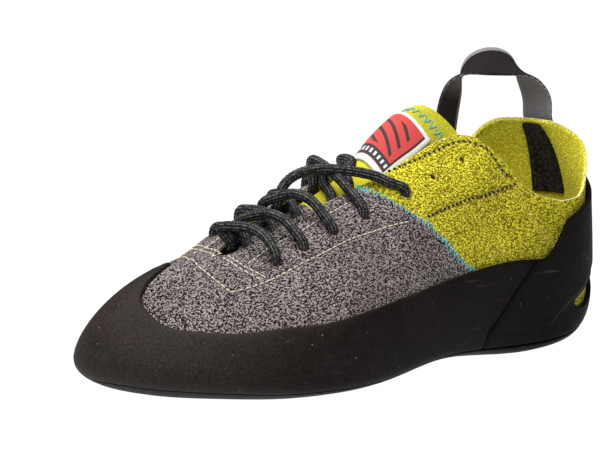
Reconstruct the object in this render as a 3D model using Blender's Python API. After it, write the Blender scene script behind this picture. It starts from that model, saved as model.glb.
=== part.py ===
"""Left climbing shoe, standing empty on its sole.

A two colour suede upper on a curved last, wrapped in a rubber rand and heel band, closed below by
an outsole that turns up behind the heel, laced over a tongue, with a webbing pull loop.
+Z is up, +Y runs to the toe, +X to the inside of the foot. The origin is on the floor under the
heel. Sizes and tables are in millimetres or in shares of them; MM turns a finished mesh to metres.
"""
import math

import bmesh
import bpy
import numpy as np

MM = 0.001

# Driving sizes of the last and of its covering. PATCH_FOOT is a share of HEEL_HEIGHT, PATCH_SPREAD the
# patch's width round the outline to that inside, LABEL_ALONG a share of LENGTH, LABEL_WIDE and
# LABEL_ACROSS shares of the tongue's half width, and the loop's room is how far its legs stand off.
LENGTH = 270.0
BALL_WIDTH = 96.0
INSTEP = 100.0
HEEL_HEIGHT = 92.5
WALL = 1.8
GAP = 0.3
RAND = 1.8
BAND_STEP = 0.7
SOLE = 4.2
INSOLE = 2.0
TONGUE = 2.4
LACE = 4.2
EYELET = 3.0
LACED_EYELET = 4.6
WEBBING = 15.0
WEBBING_THICK = 1.4
PATCH_WIDTH = 17.0
PATCH_THICK = 1.0
BAND_EASE = 0.3
PATCH_FOOT = 0.66
PATCH_SPREAD = 1.12
LABEL_LONG = 27.0
LABEL_WIDE = 0.92
LABEL_THICK = 0.8
LABEL_ALONG = 0.437
LABEL_ACROSS = -0.03
LOOP_ROOM_OUTSIDE = 0.9
LOOP_ROOM_INSIDE = 2.0

# Where the fans of sections at the heel and at the toe turn, as shares of LENGTH
HEEL_CENTRE = 0.126 * LENGTH
TOE_CENTRE = 0.793 * LENGTH

# Outline of the widest line. Shares of LENGTH along, of BALL_WIDTH to each side, of INSTEP up;
# then how square the wall is on each side and underneath, and how far the collar flares, in mm.
# along, lateral, medial, height, square lateral, square medial, square under, flare lateral, flare medial
SECTIONS = [
    (0.000, 0.000, 0.000, 0.280, 2.4, 2.4, 2.2, 0.0, 0.0),
    (0.015, -0.156, 0.146, 0.270, 2.5, 2.4, 2.4, 4.0, 2.0),
    (0.052, -0.274, 0.258, 0.220, 3.2, 3.0, 2.6, 40.0, 12.0),
    (0.126, -0.336, 0.322, 0.135, 3.4, 3.3, 4.2, 12.0, 6.0),
    (0.230, -0.349, 0.307, 0.110, 2.8, 2.8, 6.0, 0.0, 0.0),
    (0.352, -0.370, 0.281, 0.120, 2.1, 2.3, 5.4, 0.0, 0.0),
    (0.474, -0.422, 0.302, 0.120, 1.8, 2.3, 3.8, 0.0, 0.0),
    (0.593, -0.479, 0.370, 0.100, 1.8, 2.7, 3.2, 0.0, 0.0),
    (0.704, -0.516, 0.453, 0.090, 1.9, 2.9, 3.2, 0.0, 0.0),
    (0.793, -0.479, 0.484, 0.095, 1.9, 2.35, 3.0, 0.0, 0.0),
    (0.874, -0.375, 0.450, 0.120, 1.72, 1.77, 2.5, 0.0, 0.0),
    (0.941, -0.210, 0.380, 0.145, 1.57, 1.57, 2.3, 0.0, 0.0),
    (0.984, -0.021, 0.280, 0.170, 1.68, 1.68, 2.3, 0.0, 0.0),
    (1.000, 0.135, 0.135, 0.190, 1.9, 1.9, 2.3, 0.0, 0.0),
]
# Ridge of the last: share of LENGTH along, of BALL_WIDTH across, of HEEL_HEIGHT and of INSTEP up,
# which are added and keep the ridge above the collar; lift of the sole in mm
RIDGE = [
    (0.126, 0.000, 1.0595, 0.00, -0.6),
    (0.230, -0.010, 0.5405, 0.50, -0.6),
    (0.352, -0.010, 0.7135, 0.30, 2.0),
    (0.474, 0.000, 0.0000, 0.84, 3.4),
    (0.593, 0.021, 0.0000, 0.72, 0.0),
    (0.704, 0.042, 0.0000, 0.61, -1.0),
    (0.793, 0.063, 0.0000, 0.522, -1.0),
]
# How late up the wall the flare of the collar sets in
FLARE_RISE = 6
# Rim of the collar: share of LENGTH along, height as share of HEEL_HEIGHT on each side
COLLAR = [
    (0.000, 1.000, 1.000),
    (0.015, 0.995, 1.000),
    (0.026, 0.955, 0.998),
    (0.039, 0.885, 0.995),
    (0.054, 0.790, 0.985),
    (0.070, 0.710, 0.965),
    (0.092, 0.672, 0.915),
    (0.130, 0.664, 0.800),
    (0.172, 0.684, 0.715),
    (0.206, 0.722, 0.720),
    (0.234, 0.780, 0.780),
    (0.258, 0.855, 0.855),
    (0.280, 0.930, 0.930),
    (0.298, 0.975, 0.975),
    (0.314, 0.990, 0.990),
]
# Edge of the throat: share of LENGTH along, share of the way up the wall
THROAT = [
    (0.314, 0.700),
    (0.330, 0.735),
    (0.385, 0.775),
    (0.490, 0.822),
    (0.540, 0.845),
    (0.600, 0.868),
    (0.670, 0.885),
    (0.720, 0.903),
    (0.755, 0.930),
    (0.778, 0.965),
    (0.793, 1.000),
]
# Top edge of the rand: share of the way round from the heel by the lateral side, share up the wall
RAND_TOP = [
    (0.110, 0.190),
    (0.146, 0.200),
    (0.190, 0.205),
    (0.221, 0.215),
    (0.273, 0.240),
    (0.334, 0.270),
    (0.378, 0.302),
    (0.427, 0.261),
    (0.458, 0.266),
    (0.474, 0.292),
    (0.486, 0.358),
    (0.496, 0.430),
    (0.503, 0.560),
    (0.510, 0.713),
    (0.522, 0.785),
    (0.535, 0.798),
    (0.560, 0.790),
    (0.590, 0.690),
    (0.626, 0.500),
    (0.665, 0.350),
    (0.715, 0.260),
    (0.780, 0.220),
    (0.830, 0.205),
    (0.890, 0.190),
]
# Heel, as heights in shares of HEEL_HEIGHT at shares of the way round from the back: top edge of the
# band, lower edge of the band, upper edge of the outsole
HEEL_EDGES = [
    (0.000, 0.850, 0.485, 0.430),
    (0.012, 0.840, 0.475, 0.400),
    (0.025, 0.785, 0.440, 0.290),
    (0.040, 0.705, 0.385, 0.165),
    (0.055, 0.645, 0.325, 0.095),
    (0.070, 0.605, 0.255, 0.066),
    (0.090, 0.560, 0.200, 0.055),
    (0.110, 0.480, 0.165, 0.050),
    (0.125, 0.430, 0.140, 0.050),
]
# Diagonal joint of rand and heel band: share of the way up the rubber, share of LENGTH along
JOINT = [(0.00, 0.364), (0.62, 0.350), (1.00, 0.213)]
# Gap in the heel rubber where the suede shows: share of the way round, height in HEEL_HEIGHT
HEEL_WINDOW = [
    (0.032, 0.400),
    (0.042, 0.372),
    (0.054, 0.318),
    (0.067, 0.242),
    (0.080, 0.185),
    (0.076, 0.170),
    (0.060, 0.180),
    (0.047, 0.225),
    (0.036, 0.295),
    (0.031, 0.350),
]
# Eyelets from toe to collar: shares of LENGTH along of the outer and the inner one, share up the wall,
# and shares of LENGTH where the lace of each meets the far edge of the throat, 0 where no lace goes in
EYELETS = [
    (0.748, 0.718, 0.715, 0.728, 0.748),
    (0.698, 0.668, 0.700, 0.690, 0.702),
    (0.637, 0.607, 0.688, 0.632, 0.655),
    (0.565, 0.537, 0.675, 0.592, 0.603),
    (0.471, 0.460, 0.645, 0.549, 0.556),
    (0.408, 0.388, 0.622, 0.0, 0.0),
    (0.341, 0.328, 0.600, 0.0, 0.0),
]
# Tongue: share of LENGTH along, share up the wall of its edges, swell of edge and of middle in mm,
# and how much further the inner side of its middle stands up; the slant is that of its top edge
TONGUE_ROWS = [
    (0.780, 0.860, -5.8, -5.0, 0.0),
    (0.750, 0.780, -6.2, -4.6, 0.0),
    (0.700, 0.720, -6.6, -3.6, 0.0),
    (0.640, 0.700, -6.8, -2.8, 0.0),
    (0.565, 0.690, -6.6, -2.0, 0.0),
    (0.500, 0.670, -6.0, -1.8, 1.6),
    (0.450, 0.640, -4.2, 0.0, 4.6),
    (0.410, 0.610, -3.6, 1.2, 5.5),
    (0.370, 0.620, -3.3, 2.0, 5.5),
    (0.345, 0.680, -3.2, 2.4, 5.0),
]
TONGUE_SLANT = 0.050
# Pull loop: heights of its leg on the outside of the heel and of the one inside the collar, in
# shares of HEEL_HEIGHT; where the inner leg is, as a share of LENGTH; and its free middle line:
# share of BALL_WIDTH across, LENGTH along, HEEL_HEIGHT up, then the way of its width
LOOP_BACK = (0.880, 0.930, 0.975)
LOOP_INSIDE = (0.640, 0.590, 0.540)
LOOP_INSIDE_ALONG = 0.186
LOOP = [
    (0.000, 0.054, 1.070, (1.00, 0.02, 0.00)),
    (0.010, 0.066, 1.150, (0.97, -0.05, 0.10)),
    (0.035, 0.088, 1.225, (0.80, -0.25, 0.45)),
    (0.085, 0.118, 1.262, (0.44, -0.50, 0.66)),
    (0.150, 0.150, 1.240, (0.30, -0.75, 0.55)),
    (0.195, 0.170, 1.170, (0.15, -0.95, 0.25)),
    (0.215, 0.180, 1.070, (0.05, -1.00, 0.00)),
    (0.228, 0.184, 0.950, (0.04, -1.00, 0.00)),
]

# Sampling, the same for all pieces that lie on each other: columns over each stretch of the outline,
# rows under the foot, then rows as shares of the way to the sole's edge, the rubber's edge and the rim
HEEL_COLUMNS = 20
TOE_COLUMNS = 21
COLLAR_COLUMNS = 11
VAMP_COLUMNS = 11
COLLAR_END = 0.330 * LENGTH
BAND_FOOT = 0.38
BAND_FOOT_AT_JOINT = 0.62
UNDER_ROWS = (-0.72, -0.64, -0.56, -0.48, -0.40)
EDGE_ROWS = (0.50, 1.0)
RUBBER_ROWS = (0.31, 0.62, 0.81, 1.0)
WALL_ROWS = (0.2, 0.4, 0.6, 0.8, 1.0)

COLOURS = {
    "rubber": ((0.030, 0.026, 0.026), 0.72),
    "suede": ((0.190, 0.170, 0.165), 0.95),
    "tongue": ((0.560, 0.520, 0.040), 0.90),
    "insole": ((0.300, 0.270, 0.050), 0.95),
    "lace": ((0.022, 0.020, 0.020), 0.80),
    "webbing": ((0.050, 0.044, 0.046), 0.85),
    "patch": ((0.020, 0.018, 0.018), 0.98),
    "label": ((0.640, 0.100, 0.070), 0.80),
}


# Curves through table rows
def bend(knots, values, at, closed=False):
    """Smooth cubic curve through values at knots; closed joins the last knot to the first."""
    k, v = np.asarray(knots, float), np.asarray(values, float)
    last = len(k) - 1
    step = np.diff(k)
    slope = np.diff(v) / step
    matrix, right = np.zeros((last + 1, last + 1)), np.zeros(last + 1)
    for i in range(1, last):
        matrix[i, i - 1:i + 2] = step[i - 1], 2 * (step[i - 1] + step[i]), step[i]
        right[i] = 6 * (slope[i] - slope[i - 1])
    if closed:
        matrix[0, 0], matrix[0, last] = 1, -1
        matrix[last, 0], matrix[last, 1] = 2 * step[0], step[0]
        matrix[last, last - 1], matrix[last, last] = step[-1], 2 * step[-1]
        right[last] = 6 * (slope[0] - slope[-1])
    else:
        matrix[0, :2], right[0] = (2 * step[0], step[0]), 6 * slope[0]
        matrix[last, last - 1:], right[last] = (step[-1], 2 * step[-1]), -6 * slope[-1]
    second = np.linalg.solve(matrix, right)
    at = np.mod(at, k[-1]) if closed else np.clip(at, k[0], k[-1])
    i = np.clip(np.searchsorted(k, at, side="right") - 1, 0, last - 1)
    a, b = at - k[i], k[i + 1] - at
    cubic = (second[i] * b**3 + second[i + 1] * a**3) / (6 * step[i])
    left_end = (v[i] / step[i] - second[i] * step[i] / 6) * b
    right_end = (v[i + 1] / step[i] - second[i + 1] * step[i] / 6) * a
    return cubic + left_end + right_end


def ease(knots, values, at):
    """Curve through values at knots that never passes beyond its neighbours."""
    k, v = np.asarray(knots, float), np.asarray(values, float)
    step = np.diff(k)
    slope = np.diff(v) / step
    before, after = slope[:-1], slope[1:]
    total = np.where(np.abs(before + after) < 1e-12, 1.0, before + after)
    middle = np.where(before * after > 0, 2 * before * after / total, 0.0)
    tangent = np.concatenate([[slope[0]], middle, [slope[-1]]])
    at = np.clip(at, k[0], k[-1])
    i = np.clip(np.searchsorted(k, at, side="right") - 1, 0, len(step) - 1)
    h = step[i]
    t = (at - k[i]) / h
    start = v[i] * (1 + 2 * t) * (1 - t)**2 + h * tangent[i] * t * (1 - t)**2
    return start + v[i + 1] * t**2 * (3 - 2 * t) + h * tangent[i + 1] * t**2 * (t - 1)


# The form: a closed outline, a ridge above it, and a wall between the two
def outline_rows():
    """Rows round the foot: across, along, height, squareness of wall and of sole, flare."""
    lateral, medial = [], []
    for along, left, right, height, sq_left, sq_right, sq_under, flare_left, flare_right in SECTIONS:
        y, z = along * LENGTH, height * INSTEP
        lateral.append((left * BALL_WIDTH, y, z, sq_left, sq_under, flare_left))
        medial.append((right * BALL_WIDTH, y, z, sq_right, sq_under, flare_right))
    return np.array(lateral + medial[-2::-1])


RING = outline_rows()
KNOTS = np.concatenate([[0.0], np.cumsum(np.hypot(*np.diff(RING[:, :2], axis=0).T))])
AROUND = KNOTS[-1]
TIP = KNOTS[len(SECTIONS) - 1]
RIDGE_ROWS = np.array([
    (along * LENGTH, across * BALL_WIDTH, heel * HEEL_HEIGHT + instep * INSTEP, lift)
    for along, across, heel, instep, lift in RIDGE
])


def outline(u):
    """Values of the outline rows at u mm round from the heel back by the lateral side."""
    return [bend(KNOTS, RING[:, column], u, closed=True) for column in range(6)]


def ridge(y):
    """Across, height and sole lift of the ridge at y."""
    return [bend(RIDGE_ROWS[:, 0], RIDGE_ROWS[:, column], y) for column in (1, 2, 3)]


def skin(u, up, out=0.0, under=0.0):
    """Point of the last at u round and up the wall: -1 under foot, 0 widest, 1 on the ridge.

    out swells the wall and the ridge, under thickens below the foot."""
    u, up, out = np.broadcast_arrays(np.asarray(u, float), np.asarray(up, float), out)
    x, y, z, wall_square, sole_square, flare = outline(u)
    centre_y = np.clip(y, HEEL_CENTRE, TOE_CENTRE)
    centre_x, crest, lift = ridge(centre_y)
    angle = np.minimum(np.abs(up), 1.0) * math.pi / 2
    square = np.where(up < 0, sole_square, wall_square)
    swing = (np.cos(angle)**square + np.sin(angle)**square) ** (-1 / square)
    wide, high = swing * np.cos(angle), swing * np.sin(angle)
    reach = np.hypot(x - centre_x, y - centre_y)
    flared = np.where(up > 0, flare * high**FLARE_RISE, 0.0)
    part = (reach + out + flared) / reach * wide
    rise = np.where(up < 0, lift + SOLE + GAP - under - z, crest + out - z)
    place = (centre_x + (x - centre_x) * part, centre_y + (y - centre_y) * part, z + rise * high)
    return np.stack(place, -1)


def up_at(u, height):
    """Share up the wall where it is at a height, below the widest line too."""
    x, y, z, wall_square, sole_square, _ = outline(u)
    _, crest, _ = ridge(np.clip(y, HEEL_CENTRE, TOE_CENTRE))
    over = height >= z
    high = np.clip(np.where(over, (height - z) / (crest - z), (z - height) / z), 0.0, 1.0)
    square = np.where(over, wall_square, sole_square)
    wide = (1 - high**square) ** (1 / square)
    return np.where(over, 1.0, -1.0) * np.arctan2(high, wide) / (math.pi / 2)


def side_at(y, side):
    """Distance round the outline at y on the lateral (-1) or medial (1) side."""
    u = np.linspace(0.0, TIP, 1500) if side < 0 else np.linspace(AROUND, TIP, 1500)
    return np.interp(y, outline(u)[1], u)


def slide(u, up, distance):
    """Share up the wall that lies a distance in mm further up than another share."""
    pace = np.linalg.norm(skin(u, up + 0.005) - skin(u, up - 0.005), axis=-1) / 0.01
    return up + distance / pace


def from_back(u):
    """Share of the way round from the heel back, the same on both sides."""
    return np.minimum(np.mod(u, AROUND), AROUND - np.mod(u, AROUND)) / AROUND


# Edges of the pieces, as shares up the wall at u
def rim(u):
    """Edge of the upper: collar, throat, and the closed vamp where it is 1."""
    y = outline(u)[1]
    rows, throat = np.array(COLLAR), np.array(THROAT)
    lateral = np.mod(u, AROUND) <= TIP
    along = np.clip(y / LENGTH, rows[0, 0], 1.0)
    height = np.where(lateral, ease(rows[:, 0], rows[:, 1], along), ease(rows[:, 0], rows[:, 2], along))
    collar = up_at(u, height * HEEL_HEIGHT)
    return np.where(along < rows[-1, 0], collar, ease(throat[:, 0], throat[:, 1], along))


def heel_edge(u, column):
    rows = np.array(HEEL_EDGES)
    return up_at(u, ease(rows[:, 0], rows[:, column], from_back(u)) * HEEL_HEIGHT)


def rand_edge(u):
    rows = np.array(RAND_TOP)
    return ease(rows[:, 0], rows[:, 1], np.mod(u, AROUND) / AROUND)


def near_joint(u):
    """0 over the heel, 1 from the upper end of the joint with the rand."""
    return np.clip((from_back(u) - 0.085) / 0.030, 0.0, 1.0)


def rubber_edge(u):
    """Top edge of the heel band at the back and of the rand in front of it."""
    return heel_edge(u, 1) + (rand_edge(u) - heel_edge(u, 1)) * near_joint(u)


def sole_edge(u, distance):
    """Upper edge of the outsole, moved up or down by a distance measured across the edge."""
    edge = np.maximum(heel_edge(u, 3), UNDER_ROWS[-1] + 0.05)
    step = 1.0
    rise = (skin(u + step, heel_edge(u + step, 3)) - skin(u - step, heel_edge(u - step, 3)))[..., 2]
    return slide(u, edge, distance * np.sqrt(1 + (rise / (2 * step))**2))


# Meshes
def columns_round():
    """Places round the outline: pairs at the same y down the sides, even steps at heel and toe."""
    collar = np.linspace(HEEL_CENTRE, COLLAR_END, COLLAR_COLUMNS, endpoint=False)
    vamp = np.linspace(COLLAR_END, TOE_CENTRE, VAMP_COLUMNS)
    sides = np.concatenate([collar, vamp])
    lateral, medial = side_at(sides, -1), side_at(sides, 1)
    toe = np.linspace(lateral[-1], medial[-1], TOE_COLUMNS)[1:-1]
    heel = np.linspace(medial[0], lateral[0] + AROUND, HEEL_COLUMNS)[1:-1]
    return np.concatenate([lateral, toe, medial[::-1], heel])


def material(name):
    colour, roughness = COLOURS[name]
    item = bpy.data.materials.new("mat_" + name)
    item.use_nodes = True
    shader = item.node_tree.nodes["Principled BSDF"]
    shader.inputs["Base Color"].default_value = (*colour, 1.0)
    shader.inputs["Roughness"].default_value = roughness
    shader.inputs["Metallic"].default_value = 0.0
    item.diffuse_color = (*colour, 1.0)
    return item


MATERIALS = {}


def solid(name, points, faces, look, smooth=True):
    """Closed mesh object from millimetre points, welded, with outward faces."""
    shift = np.array([0.0, HEEL_CENTRE, 0.0])
    mesh = bpy.data.meshes.new(name)
    mesh.from_pydata([tuple(p) for p in (np.asarray(points) - shift) * MM], [], faces)
    work = bmesh.new()
    work.from_mesh(mesh)
    bmesh.ops.remove_doubles(work, verts=work.verts, dist=0.00001)
    bmesh.ops.dissolve_degenerate(work, edges=work.edges, dist=0.000001)
    bmesh.ops.recalc_face_normals(work, faces=work.faces)
    if work.calc_volume(signed=True) < 0:
        bmesh.ops.reverse_faces(work, faces=work.faces)
    work.to_mesh(mesh)
    work.free()
    if look not in MATERIALS:
        MATERIALS[look] = material(look)
    mesh.materials.append(MATERIALS[look])
    for face in mesh.polygons:
        face.use_smooth = smooth
    item = bpy.data.objects.new(name, mesh)
    bpy.context.scene.collection.objects.link(item)
    return item


def shell(name, outer, inner, look, ring=False, open_top=None, open_base=True):
    """Solid between two grids of points (rows up, columns round), with rims along open edges.

    Every cell is split along the same diagonal, so pieces with the same rows lie parallel."""
    rows, count = outer.shape[:2]
    points = np.concatenate([outer.reshape(-1, 3), inner.reshape(-1, 3)])
    spans = count if ring else count - 1
    far = rows * count
    faces = []
    for j in range(spans):
        k = (j + 1) % count
        for i in range(rows - 1):
            a, b, c, d = i * count + j, i * count + k, (i + 1) * count + k, (i + 1) * count + j
            faces += [(a, b, c), (a, c, d), (far + c, far + b, far + a), (far + d, far + c, far + a)]
        top = (rows - 1) * count
        if open_base:
            faces.append((k, j, far + j, far + k))
        if open_top is None or open_top[j] or open_top[k]:
            faces.append((top + j, top + k, far + top + k, far + top + j))
    if not ring:
        for i in range(rows - 1):
            low, high = i * count, (i + 1) * count
            faces.append((low, high, far + high, far + low))
            low, high = low + count - 1, high + count - 1
            faces.append((high, low, far + low, far + high))
    return solid(name, points, faces, look)


def grid(u, ups, out, under):
    """Points of the last for columns u and rows of shares up the wall."""
    ups = np.asarray(ups, float)
    return skin(np.broadcast_to(u, ups.shape), ups, out, under)


def spread(low, high, shares):
    """Rows between two edges at given shares of the way."""
    return np.array([low + (high - low) * share for share in shares])


def under_rows(u):
    return np.array([np.full_like(u, row) for row in UNDER_ROWS])


def upper():
    u = columns_round()
    under, sole, rubber, top = under_rows(u), sole_edge(u, 0.0), rubber_edge(u), rim(u)
    ups = np.concatenate([
        under,
        spread(under[-1], sole, EDGE_ROWS),
        spread(sole, rubber, RUBBER_ROWS),
        spread(rubber, top, WALL_ROWS),
    ])
    open_top = top < 0.9999
    return shell("upper", grid(u, ups, 0.0, 0.0), grid(u, ups, -WALL, -WALL), "suede", True, open_top)


def floor_stopped(points):
    """Nothing of the sole goes below the floor, which leaves the flat treads."""
    points[..., 2] = np.maximum(points[..., 2], 0.0)
    return points


def outsole():
    u = columns_round()
    under, edge = under_rows(u), sole_edge(u, -GAP)
    ups = np.concatenate([[np.full_like(u, -1.0)], under, spread(under[-1], edge, EDGE_ROWS)])[::-1]
    outer = floor_stopped(grid(u, ups, GAP + RAND, SOLE + GAP))
    inner = grid(u, ups, GAP + BAND_EASE, GAP + 0.5 * BAND_EASE)
    closed = np.zeros(len(u), bool)
    return shell("outsole", outer, inner, "rubber", True, closed)


def insole():
    u = columns_round()
    gap = WALL + 2 * GAP
    ups = np.concatenate([[np.full_like(u, -1.0)], under_rows(u)[:4:2]])[::-1]
    closed = np.zeros(len(u), bool)
    lower = grid(u, ups, -gap, -gap)
    return shell("insole", lower, lower + (0.0, 0.0, INSOLE), "insole", True, closed)


def rand_columns(shares, heel):
    """Columns of a rand in each row, from the diagonal joint on one side to that on the other."""
    full = columns_round()
    pad = -1.5 * GAP if heel else 1.5 * GAP
    joint = np.array(JOINT)
    keep_y = (0.150 if heel else 0.430) * LENGTH
    y = outline(full)[1]
    keep = (y < keep_y) if heel else (y > keep_y)
    order = np.where(full > AROUND * 0.5, full - AROUND, full) if heel else full
    inside = np.sort(order[keep])
    rows = []
    for share in shares:
        here = np.interp(share, joint[:, 0], joint[:, 1]) * LENGTH + pad
        first, last = (side_at(here, 1) - AROUND, side_at(here, -1)) if heel else (
            side_at(here, -1), side_at(here, 1))
        before = np.linspace(first, inside[0], 6)[:-1]
        after = np.linspace(inside[-1], last, 6)[1:]
        rows.append(np.concatenate([before, inside, after]))
    return np.array(rows)


def rand_front():
    shares = np.array((0.0,) + RUBBER_ROWS)
    u = rand_columns(shares, False)
    low, high = sole_edge(u, GAP), rubber_edge(u)
    ups = low + (high - low) * shares[:, None]
    seat = GAP + BAND_EASE
    return shell("rand_front", skin(u, ups, GAP + RAND, SOLE + GAP), skin(u, ups, seat, seat), "rubber")


def band_way(shares, foot):
    """Way up the heel rubber for row shares, where the band's foot lies at a given way up."""
    below = foot * shares / BAND_FOOT
    above = foot + (1 - foot) * (shares - BAND_FOOT) / (1 - BAND_FOOT)
    return np.where(shares < BAND_FOOT, below, above)


def rand_heel():
    shares = np.array([0.0, 0.5 * BAND_FOOT, BAND_FOOT - 0.012, BAND_FOOT, 0.54, 0.69, 0.85, 1.0])
    u = rand_columns(band_way(shares, BAND_FOOT_AT_JOINT), True)
    low, ledge, high = sole_edge(u, GAP), heel_edge(u, 2), rubber_edge(u)
    foot = (ledge - low) / (high - low)
    foot = foot + (BAND_FOOT_AT_JOINT - foot) * near_joint(u)
    ups = low + (high - low) * band_way(shares[:, None], foot)
    thick = GAP + RAND + np.where(shares[:, None] < BAND_FOOT, 0.0, BAND_STEP) + 0.0 * u
    seat = GAP + BAND_EASE
    item = shell("rand_heel", skin(u, ups, thick, SOLE + GAP), skin(u, ups, seat, seat), "rubber")
    for side in (-1, 1):
        cut(item, window(side))
    return item


# Cutting and joining
def merge(target, tool, operation):
    """Boolean of two solids, kept as the target's mesh."""
    step = target.modifiers.new("step", "BOOLEAN")
    step.operation, step.solver, step.object = operation, "EXACT", tool
    bpy.context.view_layer.update()
    seen = bpy.context.evaluated_depsgraph_get()
    mesh = bpy.data.meshes.new_from_object(target.evaluated_get(seen))
    target.modifiers.remove(step)
    target.data = mesh
    bpy.data.objects.remove(tool)


def cut(target, tool):
    merge(target, tool, "DIFFERENCE")


def window(side):
    """Plug of the gap in the heel rubber on one side."""
    rows = np.array(HEEL_WINDOW)
    u = rows[:, 0] * AROUND if side < 0 else AROUND * (1 - rows[:, 0])
    ups = up_at(u, rows[:, 1] * HEEL_HEIGHT)
    ring = [skin(u, ups, out, out) for out in (-1.0, 6.0)]
    count = len(rows)
    faces = [tuple(range(count)), tuple(range(2 * count - 1, count - 1, -1))]
    for i in range(count):
        k = (i + 1) % count
        faces.append((i, k, count + k, count + i))
    return solid("window", np.concatenate(ring), faces, "rubber")


def tube(name, path, radius, look, sides=7):
    """Round cord along a path of points, with flat ends."""
    path = np.asarray(path, float)
    ahead = np.gradient(path, axis=0)
    ahead /= np.linalg.norm(ahead, axis=1)[:, None]
    across = np.cross(ahead, (0.0, 0.0, 1.0))
    across /= np.linalg.norm(across, axis=1)[:, None]
    over = np.cross(across, ahead)
    turn = np.arange(sides) * 2 * math.pi / sides
    ring = across[:, None] * np.cos(turn)[:, None] + over[:, None] * np.sin(turn)[:, None]
    points = (path[:, None] + radius * ring).reshape(-1, 3)
    count = len(path)
    faces = [tuple(range(sides)), tuple((count - 1) * sides + i for i in range(sides))]
    for j in range(count - 1):
        for i in range(sides):
            k = (i + 1) % sides
            faces.append((j * sides + i, j * sides + k, (j + 1) * sides + k, (j + 1) * sides + i))
    return solid(name, points, faces, look)


def pierce_eyelets(item):
    for lateral, medial, up, far, _ in EYELETS:
        radius = 0.5 * (LACED_EYELET if far > 0 else EYELET)
        for side, along in ((-1, lateral), (1, medial)):
            u = float(side_at(along * LENGTH, side))
            middle = skin(u, up)
            normal = np.cross(skin(u + 1, up) - skin(u - 1, up), skin(u, up + 0.01) - skin(u, up - 0.01))
            normal *= 6.0 / np.linalg.norm(normal)
            cut(item, tube("drill", [middle - normal, middle + normal], radius, "suede", 12))


def tongue_surface(along, share, swell):
    """Points over the tongue: share -1 at its lateral edge, 0 on the ridge, 1 at its medial edge."""
    rows = np.array(TONGUE_ROWS)[::-1]
    edge, low, high, rise = (ease(rows[:, 0], rows[:, column], along) for column in (1, 2, 3, 4))
    up = 1 - np.abs(share) * (1 - edge)
    throat = np.array(THROAT)
    gap = 0.94 * (1 - ease(throat[:, 0], throat[:, 1], along)) / (1 - edge)
    across = np.clip(share / np.maximum(gap, 0.1), -1.0, 1.0)
    bulge = low + (high - low) * (1 - across**2) + 0.9 * rise * (1 + across)**3 * (1 - across)**2
    fade = (rows[-1, 0] - along) / (rows[-1, 0] - rows[0, 0])
    y = (along + TONGUE_SLANT * share * fade**3) * LENGTH
    u = np.where(share < 0, side_at(y, -1), side_at(y, 1))
    return skin(u, up, bulge + swell)


def tongue():
    rows = np.array(TONGUE_ROWS)
    along = np.linspace(rows[0, 0], rows[-1, 0], 16)[:, None]
    share = np.linspace(-1.0, 1.0, 11)[None, :]
    along, share = np.broadcast_arrays(along, share)
    return shell("tongue", tongue_surface(along, share, 0.0), tongue_surface(along, share, -TONGUE), "tongue")


def tongue_label():
    """Woven label on the tongue, under the top of the throat."""
    ways = np.linspace(-0.5, 0.5, 8)
    along = LABEL_ALONG + ways[:, None] * LABEL_LONG / LENGTH + 0 * ways[None, :]
    share = LABEL_ACROSS + ways[None, :] * LABEL_WIDE + 0 * along
    low = tongue_surface(along, share, 3 * GAP)
    high = tongue_surface(along, share, 3 * GAP + LABEL_THICK)
    return shell("tongue_label", high, low, "label")


def ribbon(name, middle, wide, width, thick, look):
    """Flat strap along middle points, wide giving the way of its width at each."""
    ahead = np.gradient(middle, axis=0)
    ahead /= np.linalg.norm(ahead, axis=1)[:, None]
    wide = wide - ahead * np.sum(wide * ahead, axis=1)[:, None]
    wide /= np.linalg.norm(wide, axis=1)[:, None]
    face = np.cross(wide, ahead) * 0.5 * thick
    strip = np.stack([middle - wide * 0.5 * width, middle, middle + wide * 0.5 * width], 1)
    return shell(name, strip + face[:, None], strip - face[:, None], look)


def pull_loop():
    free = np.array([(x * BALL_WIDTH, y * LENGTH, z * HEEL_HEIGHT) for x, y, z, _ in LOOP])
    lift = GAP + 0.5 * WEBBING_THICK
    back_up = up_at(np.zeros(3), np.array(LOOP_BACK) * HEEL_HEIGHT)
    inner_u = np.full(3, side_at(LOOP_INSIDE_ALONG * LENGTH, 1))
    inner_up = up_at(inner_u, np.array(LOOP_INSIDE) * HEEL_HEIGHT)
    outside = skin(0.0, back_up, lift + LOOP_ROOM_OUTSIDE)
    inside = skin(inner_u, inner_up, -WALL - lift - LOOP_ROOM_INSIDE)
    rows = np.concatenate([outside, free, inside])
    ways = np.array([(1.0, 0.0, 0.0)] * 3 + [way for _, _, _, way in LOOP] + [(0.0, -1.0, 0.0)] * 3)
    knots = np.concatenate([[0.0], np.cumsum(np.linalg.norm(np.diff(rows, axis=0), axis=1))])
    at = np.linspace(0.0, knots[-1], 30)
    middle = np.stack([bend(knots, rows[:, i], at) for i in range(3)], 1)
    wide = np.stack([bend(knots, ways[:, i], at) for i in range(3)], 1)
    return ribbon("pull_loop", middle, wide, WEBBING, WEBBING_THICK, "webbing")


def loop_patch():
    """Suede patch over the loop's stitching, inside the heel."""
    u = np.linspace(-0.5, 0.5, 7) * PATCH_WIDTH * PATCH_SPREAD
    shares = np.linspace(0.0, 1.0, 7)[:, None]
    low, high = up_at(u, PATCH_FOOT * HEEL_HEIGHT), slide(u, rim(u), -PATCH_THICK)
    ups = low + (high - low) * shares
    outer = skin(np.broadcast_to(u, ups.shape), ups, -WALL - 3 * GAP)
    inner = skin(np.broadcast_to(u, ups.shape), ups, -WALL - 3 * GAP - PATCH_THICK)
    return shell("loop_patch", outer, inner, "patch")


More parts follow.
